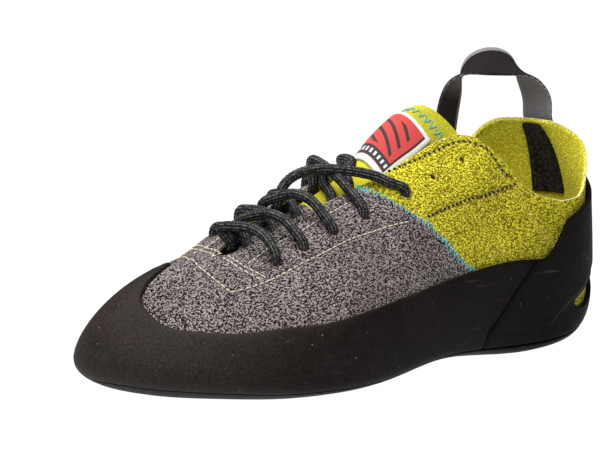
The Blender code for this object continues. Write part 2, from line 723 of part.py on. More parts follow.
def lace_bar(index, side):
    """One run of the lace: from the eyelet on one side, over the throat, to the far throat edge."""
    row = EYELETS[index]
    up, clear = row[2], 0.5 * LACE + 0.5
    start, far = (row[0], row[3]) if side < 0 else (row[1], row[4])
    start, far = start * LENGTH, far * LENGTH
    stops = [
        (start, side, up + 0.015, clear),
        (start + 0.15 * (far - start), side, up + 0.10, clear + 0.6),
        (start + 0.35 * (far - start), side, 0.92, clear + 1.6),
        (0.5 * (start + far), side, 1.0, clear + 2.2),
        (far - 1.0, -side, 0.960, clear - 0.4),
    ]
    points = np.array([skin(float(side_at(y, s)), share, out) for y, s, share, out in stops])
    knots = np.concatenate([[0.0], np.cumsum(np.linalg.norm(np.diff(points, axis=0), axis=1))])
    at = np.linspace(0.0, knots[-1], 9)
    return np.stack([bend(knots, points[:, i], at) for i in range(3)], 1)


def lace_crossings():
    laced = [i for i, row in enumerate(EYELETS) if row[3] > 0]
    for number, index in enumerate(laced, 1):
        bar = tube("lace_cross_%d" % number, lace_bar(index, -1), 0.5 * LACE, "lace")
        other = tube("other", lace_bar(index, 1), 0.5 * LACE, "lace")
        merge(bar, other, "UNION")


def main():
    for item in list(bpy.data.objects):
        bpy.data.objects.remove(item)
    outsole()
    insole()
    pierce_eyelets(upper())
    rand_front()
    rand_heel()
    tongue()
    tongue_label()
    pull_loop()
    loop_patch()
    lace_crossings()


main()
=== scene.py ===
"""Looks of the left climbing shoe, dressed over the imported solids.

The form functions are those of the part's source: a closed outline, a ridge above it and a wall
between the two. Lengths are in millimetres with y from the heel's back; to_frame turns points into
the frame's metres. Every soft or rubber piece is made again as a fine mesh on the same form, with
its relief, edges and attributes, and stands for the plain solid of the same name.
"""
import math

import bmesh
import bpy
import numpy as np
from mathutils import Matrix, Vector
from mathutils.kdtree import KDTree


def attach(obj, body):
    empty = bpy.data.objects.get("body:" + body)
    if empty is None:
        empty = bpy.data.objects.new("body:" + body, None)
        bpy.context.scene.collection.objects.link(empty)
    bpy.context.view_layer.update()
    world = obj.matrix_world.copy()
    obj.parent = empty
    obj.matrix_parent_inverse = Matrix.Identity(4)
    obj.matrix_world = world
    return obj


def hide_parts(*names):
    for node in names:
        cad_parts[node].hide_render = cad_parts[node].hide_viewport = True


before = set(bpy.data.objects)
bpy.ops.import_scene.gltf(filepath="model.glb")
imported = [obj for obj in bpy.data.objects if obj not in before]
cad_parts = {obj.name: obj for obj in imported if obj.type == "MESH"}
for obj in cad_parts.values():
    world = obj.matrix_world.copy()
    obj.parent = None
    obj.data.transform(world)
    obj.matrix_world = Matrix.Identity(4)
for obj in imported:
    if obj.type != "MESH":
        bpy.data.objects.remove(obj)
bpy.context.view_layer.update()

# Sizes in mm, as in the part's source
MM = 0.001
LENGTH = 270.0
BALL_WIDTH = 96.0
INSTEP = 100.0
HEEL_HEIGHT = 92.5
WALL = 1.8
GAP = 0.3
RAND = 1.8
BAND_STEP = 0.7
SOLE = 4.2
INSOLE = 2.0
TONGUE = 2.4
LACE = 4.2
EYELET = 3.0
LACED_EYELET = 4.6
WEBBING = 15.0
WEBBING_THICK = 1.4
PATCH_WIDTH = 17.0
PATCH_THICK = 1.0
BAND_EASE = 0.3
LABEL_LONG = 27.0
LABEL_THICK = 0.8
LOOP_ROOM_OUTSIDE = 0.9
LOOP_ROOM_INSIDE = 2.0
HEEL_CENTRE = 0.126 * LENGTH
TOE_CENTRE = 0.793 * LENGTH
# Share down the wall where the rows of the underside end and those of the side begin
UNDER = -0.40

# Half width of the tongue and height of the patch, in mm, that their rounded edges are laid out for
TONGUE_HALF = 26.0
PATCH_TALL = 30.0
# Lower edge of the patch in HEEL_HEIGHT, and its width round the heel to its width on the wall
PATCH_FOOT = 0.66
PATCH_SPREAD = 1.12

# Stitches in mm: pitch, length and lift over the suede; for a zigzag pitch, half width and lift
EYESTAY_STITCH = (3.1, 2.5, 0.22)
THROAT_STITCH = (3.0, 2.3, 0.20)
VAMP_STITCH = (2.9, 2.3, 0.22)
PINHOLE = (2.6, 1.1, 0.08)
EDGE_PINHOLE = (2.8, 1.1, 0.08)
ZIGZAG = (1.45, 2.1, 0.22)
# Radius in mm of the threads and of the pinholes
CREAM_RADIUS = 0.27
PINHOLE_RADIUS = 0.62
ZIGZAG_RADIUS = 0.20

# Stage: half width of the floor in metres, glow of the floor and of the surroundings; then each lamp's
# name, place and size in metres, and power in watts
FLOOR_HALF = 6.0
FLOOR_GLOW = 1.0
WORLD_GLOW = 0.13
LAMPS = [
    ("top", (0.0, 0.2, 1.6), 1.4, 46.0),
    ("toe", (-0.1, 1.5, 1.1), 0.9, 17.0),
    ("side", (-1.3, 0.4, 1.2), 0.9, 0.6),
]
LAMPS_AIM = (0.0, 0.1, 0.05)

# Camera as fitted to the photograph: degrees, metres, and the lens and its sensor in mm
CAMERA = {"azimuth": 221.15, "elevation": 7.2, "distance": 1.5, "lens": 226.93, "sensor": 36.0}
CAMERA_TARGET = (0.0, 0.13395, 0.06061)

# Outline: share of LENGTH along, of BALL_WIDTH across on the lateral and medial side, of INSTEP up;
# squareness of the lateral and medial wall and of the sole; flare of the lateral and medial wall in mm
SECTIONS = [
    (0.000, 0.000, 0.000, 0.280, 2.4, 2.4, 2.2, 0.0, 0.0),
    (0.015, -0.156, 0.146, 0.270, 2.5, 2.4, 2.4, 4.0, 2.0),
    (0.052, -0.274, 0.258, 0.220, 3.2, 3.0, 2.6, 40.0, 12.0),
    (0.126, -0.336, 0.322, 0.135, 3.4, 3.3, 4.2, 12.0, 6.0),
    (0.230, -0.349, 0.307, 0.110, 2.8, 2.8, 6.0, 0.0, 0.0),
    (0.352, -0.370, 0.281, 0.120, 2.1, 2.3, 5.4, 0.0, 0.0),
    (0.474, -0.422, 0.302, 0.120, 1.8, 2.3, 3.8, 0.0, 0.0),
    (0.593, -0.479, 0.370, 0.100, 1.8, 2.7, 3.2, 0.0, 0.0),
    (0.704, -0.516, 0.453, 0.090, 1.9, 2.9, 3.2, 0.0, 0.0),
    (0.793, -0.479, 0.484, 0.095, 1.9, 2.35, 3.0, 0.0, 0.0),
    (0.874, -0.375, 0.450, 0.120, 1.72, 1.77, 2.5, 0.0, 0.0),
    (0.941, -0.210, 0.380, 0.145, 1.57, 1.57, 2.3, 0.0, 0.0),
    (0.984, -0.021, 0.280, 0.170, 1.68, 1.68, 2.3, 0.0, 0.0),
    (1.000, 0.135, 0.135, 0.190, 1.9, 1.9, 2.3, 0.0, 0.0),
]
# Ridge: share of LENGTH along, of BALL_WIDTH across, of INSTEP up; lift of the sole in mm
RIDGE = [
    (0.126, 0.000, 0.980, -0.6),
    (0.230, -0.010, 1.000, -0.6),
    (0.352, -0.010, 0.960, 2.0),
    (0.474, 0.000, 0.840, 3.4),
    (0.593, 0.021, 0.720, 0.0),
    (0.704, 0.042, 0.610, -1.0),
    (0.793, 0.063, 0.522, -1.0),
]
# Power of the height by which the walls flare
FLARE_RISE = 6
# Rim of the collar: share of LENGTH along, height as share of HEEL_HEIGHT on each side
COLLAR = [
    (0.000, 1.000, 1.000),
    (0.015, 0.995, 1.000),
    (0.026, 0.955, 0.998),
    (0.039, 0.885, 0.995),
    (0.054, 0.790, 0.985),
    (0.070, 0.710, 0.965),
    (0.092, 0.672, 0.915),
    (0.130, 0.664, 0.800),
    (0.172, 0.684, 0.715),
    (0.206, 0.722, 0.720),
    (0.234, 0.780, 0.780),
    (0.258, 0.855, 0.855),
    (0.280, 0.930, 0.930),
    (0.298, 0.975, 0.975),
    (0.314, 0.990, 0.990),
]
# Edge of the throat: share of LENGTH along, share of the way up the wall
THROAT = [
    (0.314, 0.700),
    (0.330, 0.735),
    (0.385, 0.775),
    (0.490, 0.822),
    (0.540, 0.845),
    (0.600, 0.868),
    (0.670, 0.885),
    (0.720, 0.903),
    (0.755, 0.930),
    (0.778, 0.965),
    (0.793, 1.000),
]
# Top edge of the rand: share of the way round from the heel by the lateral side, share up the wall
RAND_TOP = [
    (0.110, 0.190),
    (0.146, 0.200),
    (0.190, 0.205),
    (0.221, 0.215),
    (0.273, 0.240),
    (0.334, 0.270),
    (0.378, 0.302),
    (0.427, 0.261),
    (0.458, 0.266),
    (0.474, 0.292),
    (0.486, 0.358),
    (0.496, 0.430),
    (0.503, 0.560),
    (0.510, 0.713),
    (0.522, 0.785),
    (0.535, 0.798),
    (0.560, 0.790),
    (0.590, 0.690),
    (0.626, 0.500),
    (0.665, 0.350),
    (0.715, 0.260),
    (0.780, 0.220),
    (0.830, 0.205),
    (0.890, 0.190),
]
# Heel, in shares of HEEL_HEIGHT at shares of the way round: band top, band foot, top of the outsole
HEEL_EDGES = [
    (0.000, 0.850, 0.485, 0.430),
    (0.012, 0.840, 0.475, 0.400),
    (0.025, 0.785, 0.440, 0.290),
    (0.040, 0.705, 0.385, 0.165),
    (0.055, 0.645, 0.325, 0.095),
    (0.070, 0.605, 0.255, 0.066),
    (0.090, 0.560, 0.200, 0.055),
    (0.110, 0.480, 0.165, 0.050),
    (0.125, 0.430, 0.140, 0.050),
]
# Joint of rand and heel band, by rows: share of the way up the rubber, share of LENGTH along
JOINT = [(0.00, 0.364), (0.62, 0.350), (1.00, 0.213)]
# Way up the heel rubber of the band's foot: among its rows, and where the band meets the joint
BAND_FOOT = 0.38
BAND_FOOT_AT_JOINT = 0.62
# Gap in the heel rubber: share of the way round, height in HEEL_HEIGHT
HEEL_WINDOW = [
    (0.032, 0.400),
    (0.042, 0.372),
    (0.054, 0.318),
    (0.067, 0.242),
    (0.080, 0.185),
    (0.076, 0.170),
    (0.060, 0.180),
    (0.047, 0.225),
    (0.036, 0.295),
    (0.031, 0.350),
]
# Eyelets from toe to collar: share of LENGTH along on the lateral and medial side, share up the wall
EYELETS = [
    (0.748, 0.718, 0.715),
    (0.698, 0.668, 0.700),
    (0.637, 0.607, 0.688),
    (0.565, 0.537, 0.675),
    (0.471, 0.460, 0.645),
    (0.408, 0.388, 0.622),
    (0.341, 0.328, 0.600),
]
LACED_PAIRS = 5
# Tongue: share of LENGTH along, share up the wall of its edges, swell of edge and of middle in mm,
# and height in mm of the fold, highest a little to the medial side
TONGUE_ROWS = [
    (0.780, 0.860, -5.8, -5.0, 0.0),
    (0.750, 0.780, -6.2, -4.6, 0.0),
    (0.700, 0.720, -6.6, -3.6, 0.0),
    (0.640, 0.700, -6.8, -2.8, 0.0),
    (0.565, 0.690, -6.6, -2.0, 0.0),
    (0.500, 0.670, -6.0, -1.8, 1.6),
    (0.450, 0.640, -4.2, 0.0, 4.6),
    (0.410, 0.610, -3.6, 1.2, 5.5),
    (0.370, 0.620, -3.3, 2.0, 5.5),
    (0.345, 0.680, -3.2, 2.4, 5.0),
]
# Slant of the tongue's top: its medial edge lies this share of LENGTH further along, its lateral
# edge as much further back
TONGUE_SLANT = 0.050
# Where the tongue turns from lime to grey, in the frame's metres along
TONGUE_BORDER = 0.130
# Label: its middle as share of LENGTH along and of the tongue across, its width as such a share,
# and in mm the width that its edges and its pattern are laid out for
LABEL_ALONG = 0.437
LABEL_ACROSS = -0.10
LABEL_WIDE = 0.80
LABEL_EDGES = 16.0
LABEL_PATTERN = 18.0
# Pull loop: heights of its sewn ends in HEEL_HEIGHT, outside the heel and inside the medial collar, the
# share of LENGTH along of the inner one, then its free run as shares of BALL_WIDTH across, LENGTH along
# and HEEL_HEIGHT up, with the way its width points
LOOP_BACK = (0.880, 0.930, 0.975)
LOOP_INSIDE = (0.640, 0.590, 0.540)
LOOP_INSIDE_ALONG = 0.186
LOOP = [
    (0.000, 0.054, 1.070, (1.00, 0.02, 0.00)),
    (0.010, 0.066, 1.150, (0.97, -0.05, 0.10)),
    (0.035, 0.088, 1.225, (0.80, -0.25, 0.45)),
    (0.085, 0.118, 1.262, (0.44, -0.50, 0.66)),
    (0.150, 0.150, 1.240, (0.30, -0.75, 0.55)),
    (0.195, 0.170, 1.170, (0.15, -0.95, 0.25)),
    (0.215, 0.180, 1.070, (0.05, -1.00, 0.00)),
    (0.228, 0.184, 0.950, (0.04, -1.00, 0.00)),
]

# Border of grey and lime suede: share up the wall, share of the way round from the back
COLOUR_SEAM = [
    (0.000, 0.1840),
    (0.200, 0.1870),
    (0.220, 0.1945),
    (0.290, 0.2067),
    (0.395, 0.2200),
    (0.525, 0.2358),
    (0.680, 0.2500),
    (0.830, 0.2617),
    (1.000, 0.2750),
]
# Rows of stitches: points across, along and up in mm; the medial side has the same rows
EYESTAY_ROW = [
    (-17.3, 228.1, 42.0), (-20.4, 222.3, 43.0), (-22.2, 214.5, 44.4), (-23.7, 198.7, 48.7),
    (-25.9, 181.4, 53.9), (-25.6, 169.5, 56.5), (-25.8, 152.3, 59.0), (-26.6, 138.8, 60.5),
    (-27.3, 131.3, 60.9),
]
PINHOLE_ROW = [
    (-27.8, 121.6, 62.0), (-28.0, 98.7, 66.3), (-28.3, 79.2, 68.3), (-28.4, 66.3, 70.4),
]
EDGE_PINHOLES = [
    (-11.9, 127.7, 79.6), (-14.2, 115.0, 83.0), (-16.3, 97.7, 87.5), (-17.4, 88.9, 89.0),
    (-23.4, 75.6, 82.7), (-26.7, 71.4, 75.2), (-27.7, 67.8, 72.6),
]
THROAT_ROW = [
    (-10.2, 210.1, 50.2), (-9.9, 197.8, 55.2), (-12.5, 189.3, 58.2), (-13.4, 170.3, 64.5),
    (-13.4, 153.6, 69.3),
]
# Rows over the vamp, which run from one side to the other
TOE_ROW = [
    (-17.3, 228.1, 42.0), (-11.8, 228.1, 44.5), (-4.0, 226.8, 47.6), (2.1, 225.4, 49.7),
    (8.0, 222.4, 50.6), (16.4, 216.8, 50.9), (29.0, 209.0, 46.0),
]
VAMP_ROWS = {
    "vamp_lateral": [(-20.6, 214.6, 45.4), (-11.3, 216.0, 49.0), (-4.6, 214.6, 51.2), (2.3, 212.7, 52.3)],
    "vamp_medial": [(4.6, 211.9, 52.6), (13.6, 208.8, 52.6), (22.0, 204.0, 51.0), (29.0, 198.0, 47.0)],
}
VAMP_ROWS_APART = 3.0

# Soft troughs and ridges of the upper: points, half width in mm, height in mm
CREASES = [
    ([(-30.5, 69.0, 62.5), (-31.5, 60.0, 53.0), (-32.7, 50.4, 43.7)], 3.2, 1.0),
    ([(-30.5, 59.0, 64.0), (-32.0, 51.0, 54.0), (-33.5, 42.0, 47.0)], 4.5, -1.5),
    ([(-31.0, 84.0, 62.0), (-34.0, 74.0, 48.0), (-35.0, 66.0, 36.0)], 7.0, -0.9),
    ([(-33.0, 118.0, 50.0), (-36.0, 104.0, 40.0), (-36.0, 92.0, 32.0)], 7.0, -0.6),
    ([(-38.0, 160.0, 42.0), (-33.0, 156.0, 50.0), (-27.0, 150.0, 57.0)], 6.0, -0.5),
    ([(-41.0, 196.0, 34.0), (-35.0, 192.0, 42.0), (-28.0, 187.0, 50.0)], 6.0, -0.5),
    ([(-35.0, 222.0, 31.0), (-28.0, 224.0, 38.0), (-20.0, 226.0, 43.0)], 5.0, -0.4),
    ([(29.0, 66.0, 60.0), (31.0, 56.0, 50.0), (31.0, 48.0, 42.0)], 5.0, -1.0),
    ([(29.0, 118.0, 46.0), (29.0, 104.0, 38.0), (28.0, 92.0, 30.0)], 7.0, -0.7),
    ([(42.0, 180.0, 30.0), (36.0, 174.0, 42.0), (27.0, 168.0, 52.0)], 6.0, -0.6),
]

# Colours as linear values
GREY_DARK = (0.004, 0.003, 0.003)
GREY_LIGHT = (0.285, 0.243, 0.234)
LIME_DARK = (0.125, 0.100, 0.001)
LIME_LIGHT = (0.800, 0.720, 0.042)
# Inside of the upper: lime painted lighter, as painted light against the shade inside the shoe
LIT_INSIDE_DARK = (0.480, 0.430, 0.012)
LIT_INSIDE_LIGHT = (0.920, 0.850, 0.090)
RAW_EDGE = (0.620, 0.620, 0.330)
RAW_GREY = (0.300, 0.275, 0.265)
TONGUE_DARK = (0.400, 0.370, 0.012)
TONGUE_LIGHT = (0.600, 0.560, 0.035)
INSOLE_DARK = (0.160, 0.140, 0.030)
INSOLE_LIGHT = (0.300, 0.270, 0.080)
# Darkening along stitch rows and the colour border: painted shade, with some dirt
SHADE_AND_DIRT = (0.020, 0.018, 0.015)
RUBBER_BLACK = (0.0036, 0.0026, 0.0024)
RUBBER_WORN = (0.0290, 0.0225, 0.0205)
# Outsole: darker than the rand's rubber, as painted shade on the underside
SHADED_SOLE_BLACK = (0.0010, 0.0007, 0.0007)
SHADED_SOLE_WORN = (0.0060, 0.0046, 0.0042)
BAND_BLACK = (0.0026, 0.0017, 0.0016)
BAND_WORN = (0.0140, 0.0105, 0.0100)
DUST = (0.26, 0.23, 0.20)
SCUFF = (0.20, 0.17, 0.15)
CREAM = (0.740, 0.700, 0.520)
SKY = (0.150, 0.520, 0.640)
LACE_BLACK = (0.0022, 0.0020, 0.0020)
LACE_GREY = (0.2600, 0.2500, 0.2500)
WEB_BLACK = (0.010, 0.0085, 0.009)
WEB_GREY = (0.330, 0.310, 0.320)
# Inner face of the loop's leg inside the collar, painted dark as shade
WEB_SHADED_BROWN = (0.060, 0.047, 0.046)
WEB_FACE = (0.024, 0.020, 0.021)
WEB_INSIDE = (0.030, 0.027, 0.028)
WEB_EDGE_DARK = (0.120, 0.112, 0.118)
WEB_EDGE = (0.330, 0.315, 0.330)
THREAD_BLACK = (0.004, 0.004, 0.003)
PATCH_DARK = (0.006, 0.005, 0.005)
PATCH_LIGHT = (0.040, 0.034, 0.032)
LABEL_RED = (0.600, 0.040, 0.035)
LABEL_WHITE = (0.760, 0.750, 0.730)
LABEL_BLACK = (0.018, 0.016, 0.016)


# Curves through table rows
def bend(knots, values, at, closed=False):
    """Smooth cubic curve through values at knots; closed joins the last knot to the first."""
    k, v = np.asarray(knots, float), np.asarray(values, float)
    last = len(k) - 1
    step = np.diff(k)
    slope = np.diff(v) / step
    matrix, right = np.zeros((last + 1, last + 1)), np.zeros(last + 1)
    for i in range(1, last):
        matrix[i, i - 1:i + 2] = step[i - 1], 2 * (step[i - 1] + step[i]), step[i]
        right[i] = 6 * (slope[i] - slope[i - 1])
    if closed:
        matrix[0, 0], matrix[0, last] = 1, -1
        matrix[last, 0], matrix[last, 1] = 2 * step[0], step[0]
        matrix[last, last - 1], matrix[last, last] = step[-1], 2 * step[-1]
        right[last] = 6 * (slope[0] - slope[-1])
    else:
        matrix[0, :2], right[0] = (2 * step[0], step[0]), 6 * slope[0]
        matrix[last, last - 1:], right[last] = (step[-1], 2 * step[-1]), -6 * slope[-1]
    second = np.linalg.solve(matrix, right)
    at = np.mod(at, k[-1]) if closed else np.clip(at, k[0], k[-1])
    i = np.clip(np.searchsorted(k, at, side="right") - 1, 0, last - 1)
    a, b = at - k[i], k[i + 1] - at
    cubic = (second[i] * b**3 + second[i + 1] * a**3) / (6 * step[i])
    left_end = (v[i] / step[i] - second[i] * step[i] / 6) * b
    right_end = (v[i + 1] / step[i] - second[i + 1] * step[i] / 6) * a
    return cubic + left_end + right_end


def ease(knots, values, at):
    """Curve through values at knots that never passes beyond its neighbours."""
    k, v = np.asarray(knots, float), np.asarray(values, float)
    step = np.diff(k)
    slope = np.diff(v) / step
    before, after = slope[:-1], slope[1:]
    total = np.where(np.abs(before + after) < 1e-12, 1.0, before + after)
    middle = np.where(before * after > 0, 2 * before * after / total, 0.0)
    tangent = np.concatenate([[slope[0]], middle, [slope[-1]]])
    at = np.clip(at, k[0], k[-1])
    i = np.clip(np.searchsorted(k, at, side="right") - 1, 0, len(step) - 1)
    h = step[i]
    t = (at - k[i]) / h
    start = v[i] * (1 + 2 * t) * (1 - t)**2 + h * tangent[i] * t * (1 - t)**2
    return start + v[i + 1] * t**2 * (3 - 2 * t) + h * tangent[i + 1] * t**2 * (t - 1)


def resample(points, step):
    """Points of a smooth curve through given points, about step mm apart."""
    rows = np.asarray(points, float)
    knots = np.concatenate([[0.0], np.cumsum(np.linalg.norm(np.diff(rows, axis=0), axis=1))])
    at = np.linspace(0.0, knots[-1], max(2, int(knots[-1] / step) + 1))
    return np.stack([bend(knots, rows[:, i], at) for i in range(rows.shape[1])], 1)


# The form: a closed outline, a ridge above it, and a wall between the two
def outline_rows():
    """Rows round the foot: across, along, height, squareness of wall and of sole, flare."""
    lateral, medial = [], []
    for along, left, right, height, sq_left, sq_right, sq_under, flare_left, flare_right in SECTIONS:
        y, z = along * LENGTH, height * INSTEP
        lateral.append((left * BALL_WIDTH, y, z, sq_left, sq_under, flare_left))
        medial.append((right * BALL_WIDTH, y, z, sq_right, sq_under, flare_right))
    return np.array(lateral + medial[-2::-1])


RING = outline_rows()
KNOTS = np.concatenate([[0.0], np.cumsum(np.hypot(*np.diff(RING[:, :2], axis=0).T))])
AROUND = KNOTS[-1]
TIP = KNOTS[len(SECTIONS) - 1]
RIDGE_ROWS = np.array(RIDGE) * (LENGTH, BALL_WIDTH, INSTEP, 1.0)


def outline(u):
    """Values of the outline rows at u mm round from the heel back by the lateral side."""
    return [bend(KNOTS, RING[:, column], u, closed=True) for column in range(6)]


def ridge(y):
    """Across, height and sole lift of the ridge at y."""
    return [bend(RIDGE_ROWS[:, 0], RIDGE_ROWS[:, column], y) for column in (1, 2, 3)]


def skin(u, up, out=0.0, under=0.0):
    """Point of the last at u round and up the wall: -1 under foot, 0 widest, 1 on the ridge."""
    u, up, out = np.broadcast_arrays(np.asarray(u, float), np.asarray(up, float), out)
    x, y, z, wall_square, sole_square, flare = outline(u)
    centre_y = np.clip(y, HEEL_CENTRE, TOE_CENTRE)
    centre_x, crest, lift = ridge(centre_y)
    angle = np.minimum(np.abs(up), 1.0) * math.pi / 2
    square = np.where(up < 0, sole_square, wall_square)
    swing = (np.cos(angle)**square + np.sin(angle)**square) ** (-1 / square)
    wide, high = swing * np.cos(angle), swing * np.sin(angle)
    reach = np.hypot(x - centre_x, y - centre_y)
    flared = np.where(up > 0, flare * high**FLARE_RISE, 0.0)
    part = (reach + out + flared) / reach * wide
    rise = np.where(up < 0, lift + SOLE + GAP - under - z, crest + out - z)
    place = (centre_x + (x - centre_x) * part, centre_y + (y - centre_y) * part, z + rise * high)
    return np.stack(place, -1)


def up_at(u, height):
    """Share up the wall where it is at a height, below the widest line too."""
    _, y, z, wall_square, sole_square, _ = outline(u)
    _, crest, _ = ridge(np.clip(y, HEEL_CENTRE, TOE_CENTRE))
    over = height >= z
    high = np.clip(np.where(over, (height - z) / (crest - z), (z - height) / z), 0.0, 1.0)
    square = np.where(over, wall_square, sole_square)
    wide = (1 - high**square) ** (1 / square)
    return np.where(over, 1.0, -1.0) * np.arctan2(high, wide) / (math.pi / 2)


SIDE_STEPS = np.linspace(0.0, TIP, 1500), np.linspace(AROUND, TIP, 1500)
SIDE_YS = outline(SIDE_STEPS[0])[1], outline(SIDE_STEPS[1])[1]


def side_at(y, side):
    """Distance round the outline at y on the lateral (-1) or medial (1) side."""
    half = 0 if side < 0 else 1
    return np.interp(y, SIDE_YS[half], SIDE_STEPS[half])


def slide(u, up, distance):
    """Share up the wall that lies a distance in mm further up than another share."""
    pace = np.linalg.norm(skin(u, up + 0.005) - skin(u, up - 0.005), axis=-1) / 0.01
    return up + distance / pace


def from_back(u):
    """Share of the way round from the heel back, the same on both sides."""
    return np.minimum(np.mod(u, AROUND), AROUND - np.mod(u, AROUND)) / AROUND


def rim(u):
    """Edge of the upper: collar, throat, and the closed vamp where it is 1."""
    y = outline(u)[1]
    rows, throat = np.array(COLLAR), np.array(THROAT)
    lateral = np.mod(u, AROUND) <= TIP
    along = np.clip(y / LENGTH, rows[0, 0], 1.0)
    height = np.where(lateral, ease(rows[:, 0], rows[:, 1], along), ease(rows[:, 0], rows[:, 2], along))
    collar = up_at(u, height * HEEL_HEIGHT)
    return np.where(along < rows[-1, 0], collar, ease(throat[:, 0], throat[:, 1], along))


def heel_edge(u, column):
    """Share up the wall of one of the heel's edges."""
    rows = np.array(HEEL_EDGES)
    return up_at(u, ease(rows[:, 0], rows[:, column], from_back(u)) * HEEL_HEIGHT)


def rand_edge(u):
    """Share up the wall of the rand's top."""
    rows = np.array(RAND_TOP)
    return ease(rows[:, 0], rows[:, 1], np.mod(u, AROUND) / AROUND)


def near_joint(u):
    """0 over the heel, 1 from the upper end of the joint with the rand."""
    return np.clip((from_back(u) - 0.085) / 0.030, 0.0, 1.0)


def rubber_edge(u):
    """Top edge of the heel band at the back and of the rand in front of it."""
    return heel_edge(u, 1) + (rand_edge(u) - heel_edge(u, 1)) * near_joint(u)


def sole_edge(u, distance):
    """Upper edge of the outsole, moved up or down by a distance measured across the edge."""
    edge = np.maximum(heel_edge(u, 3), UNDER + 0.05)
    step = 1.0
    rise = (skin(u + step, heel_edge(u + step, 3)) - skin(u - step, heel_edge(u - step, 3)))[..., 2]
    return slide(u, edge, distance * np.sqrt(1 + (rise / (2 * step))**2))


# Places on the form
def land(points):
    """Shares round and up of points given across, along and up, brought onto the last."""
    points = np.asarray(points, float)
    u, up = np.meshgrid(np.linspace(0.0, AROUND, 620, endpoint=False), np.linspace(0.02, 1.0, 90))
    grid = skin(u, up)
    near = [np.argmin(((grid - p)**2).sum(-1)) for p in points]
    u, up = u.ravel()[near], up.ravel()[near]
    for _ in range(6):
        here = skin(u, up)
        along = skin(u + 0.5, up) - skin(u - 0.5, up)
        rise = (skin(u, up + 0.002) - skin(u, up - 0.002)) / 0.004
        miss = points - here
        aa, ab, bb = (along**2).sum(1), (along * rise).sum(1), (rise**2).sum(1)
        ra, rb = (along * miss).sum(1), (rise * miss).sum(1)
        det = aa * bb - ab**2 + 1e-6
        u = u + np.clip((ra * bb - rb * ab) / det, -3, 3)
        up = np.clip(up + np.clip((aa * rb - ab * ra) / det, -0.03, 0.03), 0.0, 1.0)
    return u, up


def mirrored(u, up):
    """The same place on the other side."""
    y = outline(u)[1]
    other = np.where(np.mod(u, AROUND) <= TIP, side_at(y, 1), side_at(y, -1))
    return other, up


def surface_line(points, mirror=False, step=0.5):
    """Shares round and up along a row of points on the last."""
    u, up = land(resample(points, 4.0))
    if mirror:
        u, up = mirrored(u, up)
    pair = resample(np.stack([u, up * 100], 1), step)
    return pair[:, 0], pair[:, 1] / 100


def distance_to(points, line):
    """Distance in mm of points from a polyline, both in space."""
    flat = points.reshape(-1, 3)
    best = np.full(len(flat), 1e9)
    lo, hi = line.min(0) - 12, line.max(0) + 12
    close = np.all((flat > lo) & (flat < hi), axis=1)
    near = flat[close]
    found = np.full(len(near), 1e9)
    for a, b in zip(line[:-1], line[1:]):
        along = b - a
        t = np.clip(((near - a) @ along) / max(along @ along, 1e-9), 0, 1)
        found = np.minimum(found, ((near - a - t[:, None] * along)**2).sum(1))
    best[close] = np.sqrt(found)
    return best.reshape(points.shape[:-1])


def seam_round(up):
    """Share of the way round where the colours meet."""
    rows = np.array(COLOUR_SEAM)
    return ease(rows[:, 0], rows[:, 1], up)


def seam_line(side):
    """Shares round and up of the border between the colours."""
    ups = np.linspace(0.16, 0.842, 160)
    u = seam_round(ups) * AROUND
    return (u if side < 0 else AROUND - u), ups


LINES = {}
for line_name, line_points in (("eyestay", EYESTAY_ROW), ("pinholes", PINHOLE_ROW),
                               ("edge_pinholes", EDGE_PINHOLES), ("throat", THROAT_ROW)):
    LINES[line_name + "_lateral"] = surface_line(line_points)
    LINES[line_name + "_medial"] = surface_line(line_points, True)
LINES["toe"] = surface_line(TOE_ROW)
for line_name, line_points in VAMP_ROWS.items():
    LINES[line_name] = surface_line(line_points)
    LINES[line_name + "_back"] = surface_line([(x, y - VAMP_ROWS_APART, z + 0.8) for x, y, z in line_points])
SEAMS = {side: seam_line(side) for side in (-1, 1)}


def thin(line, every=4):
    """Every few points of a surface line, in space."""
    return skin(line[0][::every], line[1][::every])


def seam_distance(points, u, up):
    """Signed distance in mm from the border of the colours, above 0 in the lime suede."""
    away = np.minimum(*(distance_to(points, skin(*SEAMS[side])[::3]) for side in (-1, 1)))
    away = np.minimum(away, 20.0)
    return np.where(from_back(u) < seam_round(np.clip(up, 0, 1)), away, -away)


def relief(points, u, up):
    """Height in mm of the suede over the last: seams, rows of stitches and creases."""
    height = np.zeros(points.shape[:-1])
    for line in LINES.values():
        height -= 0.30 * np.exp(-(distance_to(points, thin(line)) / 0.9)**2)
    border = seam_distance(points, u, up)
    height += 0.30 / (1 + np.exp(border / 0.35)) - 0.25 * np.exp(-(border / 0.9)**2)
    for line, half, rise in CREASES:
        away = distance_to(points, resample(line, 3.0))
        height += rise * np.exp(-(away / half)**2)
    return height


# Meshes
def to_frame(points):
    """Points in mm from the heel's back, as metres of the frame."""
    return (np.asarray(points, float) - (0.0, HEEL_CENTRE, 0.0)) * MM


def mesh_object(name, points, faces, looks, attributes=None, weld=0.00001):
    """Mesh object in the frame's metres with named values at its points."""
    mesh = bpy.data.meshes.new(name)
    mesh.from_pydata(to_frame(points).tolist(), [], faces)
    for key, values in (attributes or {}).items():
        values = np.asarray(values, np.float32)
        kind = "FLOAT" if values.ndim == 1 else "FLOAT_VECTOR"
        layer = mesh.attributes.new(key, kind, "POINT")
        layer.data.foreach_set("value" if values.ndim == 1 else "vector", values.ravel())
    for look in looks:
        mesh.materials.append(look)
    if weld:
        work = bmesh.new()
        work.from_mesh(mesh)
        bmesh.ops.remove_doubles(work, verts=work.verts, dist=weld)
        bmesh.ops.dissolve_degenerate(work, edges=work.edges, dist=weld / 10)
        bmesh.ops.recalc_face_normals(work, faces=work.faces)
        if work.calc_volume(signed=True) < 0:
            bmesh.ops.reverse_faces(work, faces=work.faces)
        work.to_mesh(mesh)
        work.free()
    mesh.shade_smooth()
    item = bpy.data.objects.new(name, mesh)
    bpy.context.scene.collection.objects.link(item)
    return item


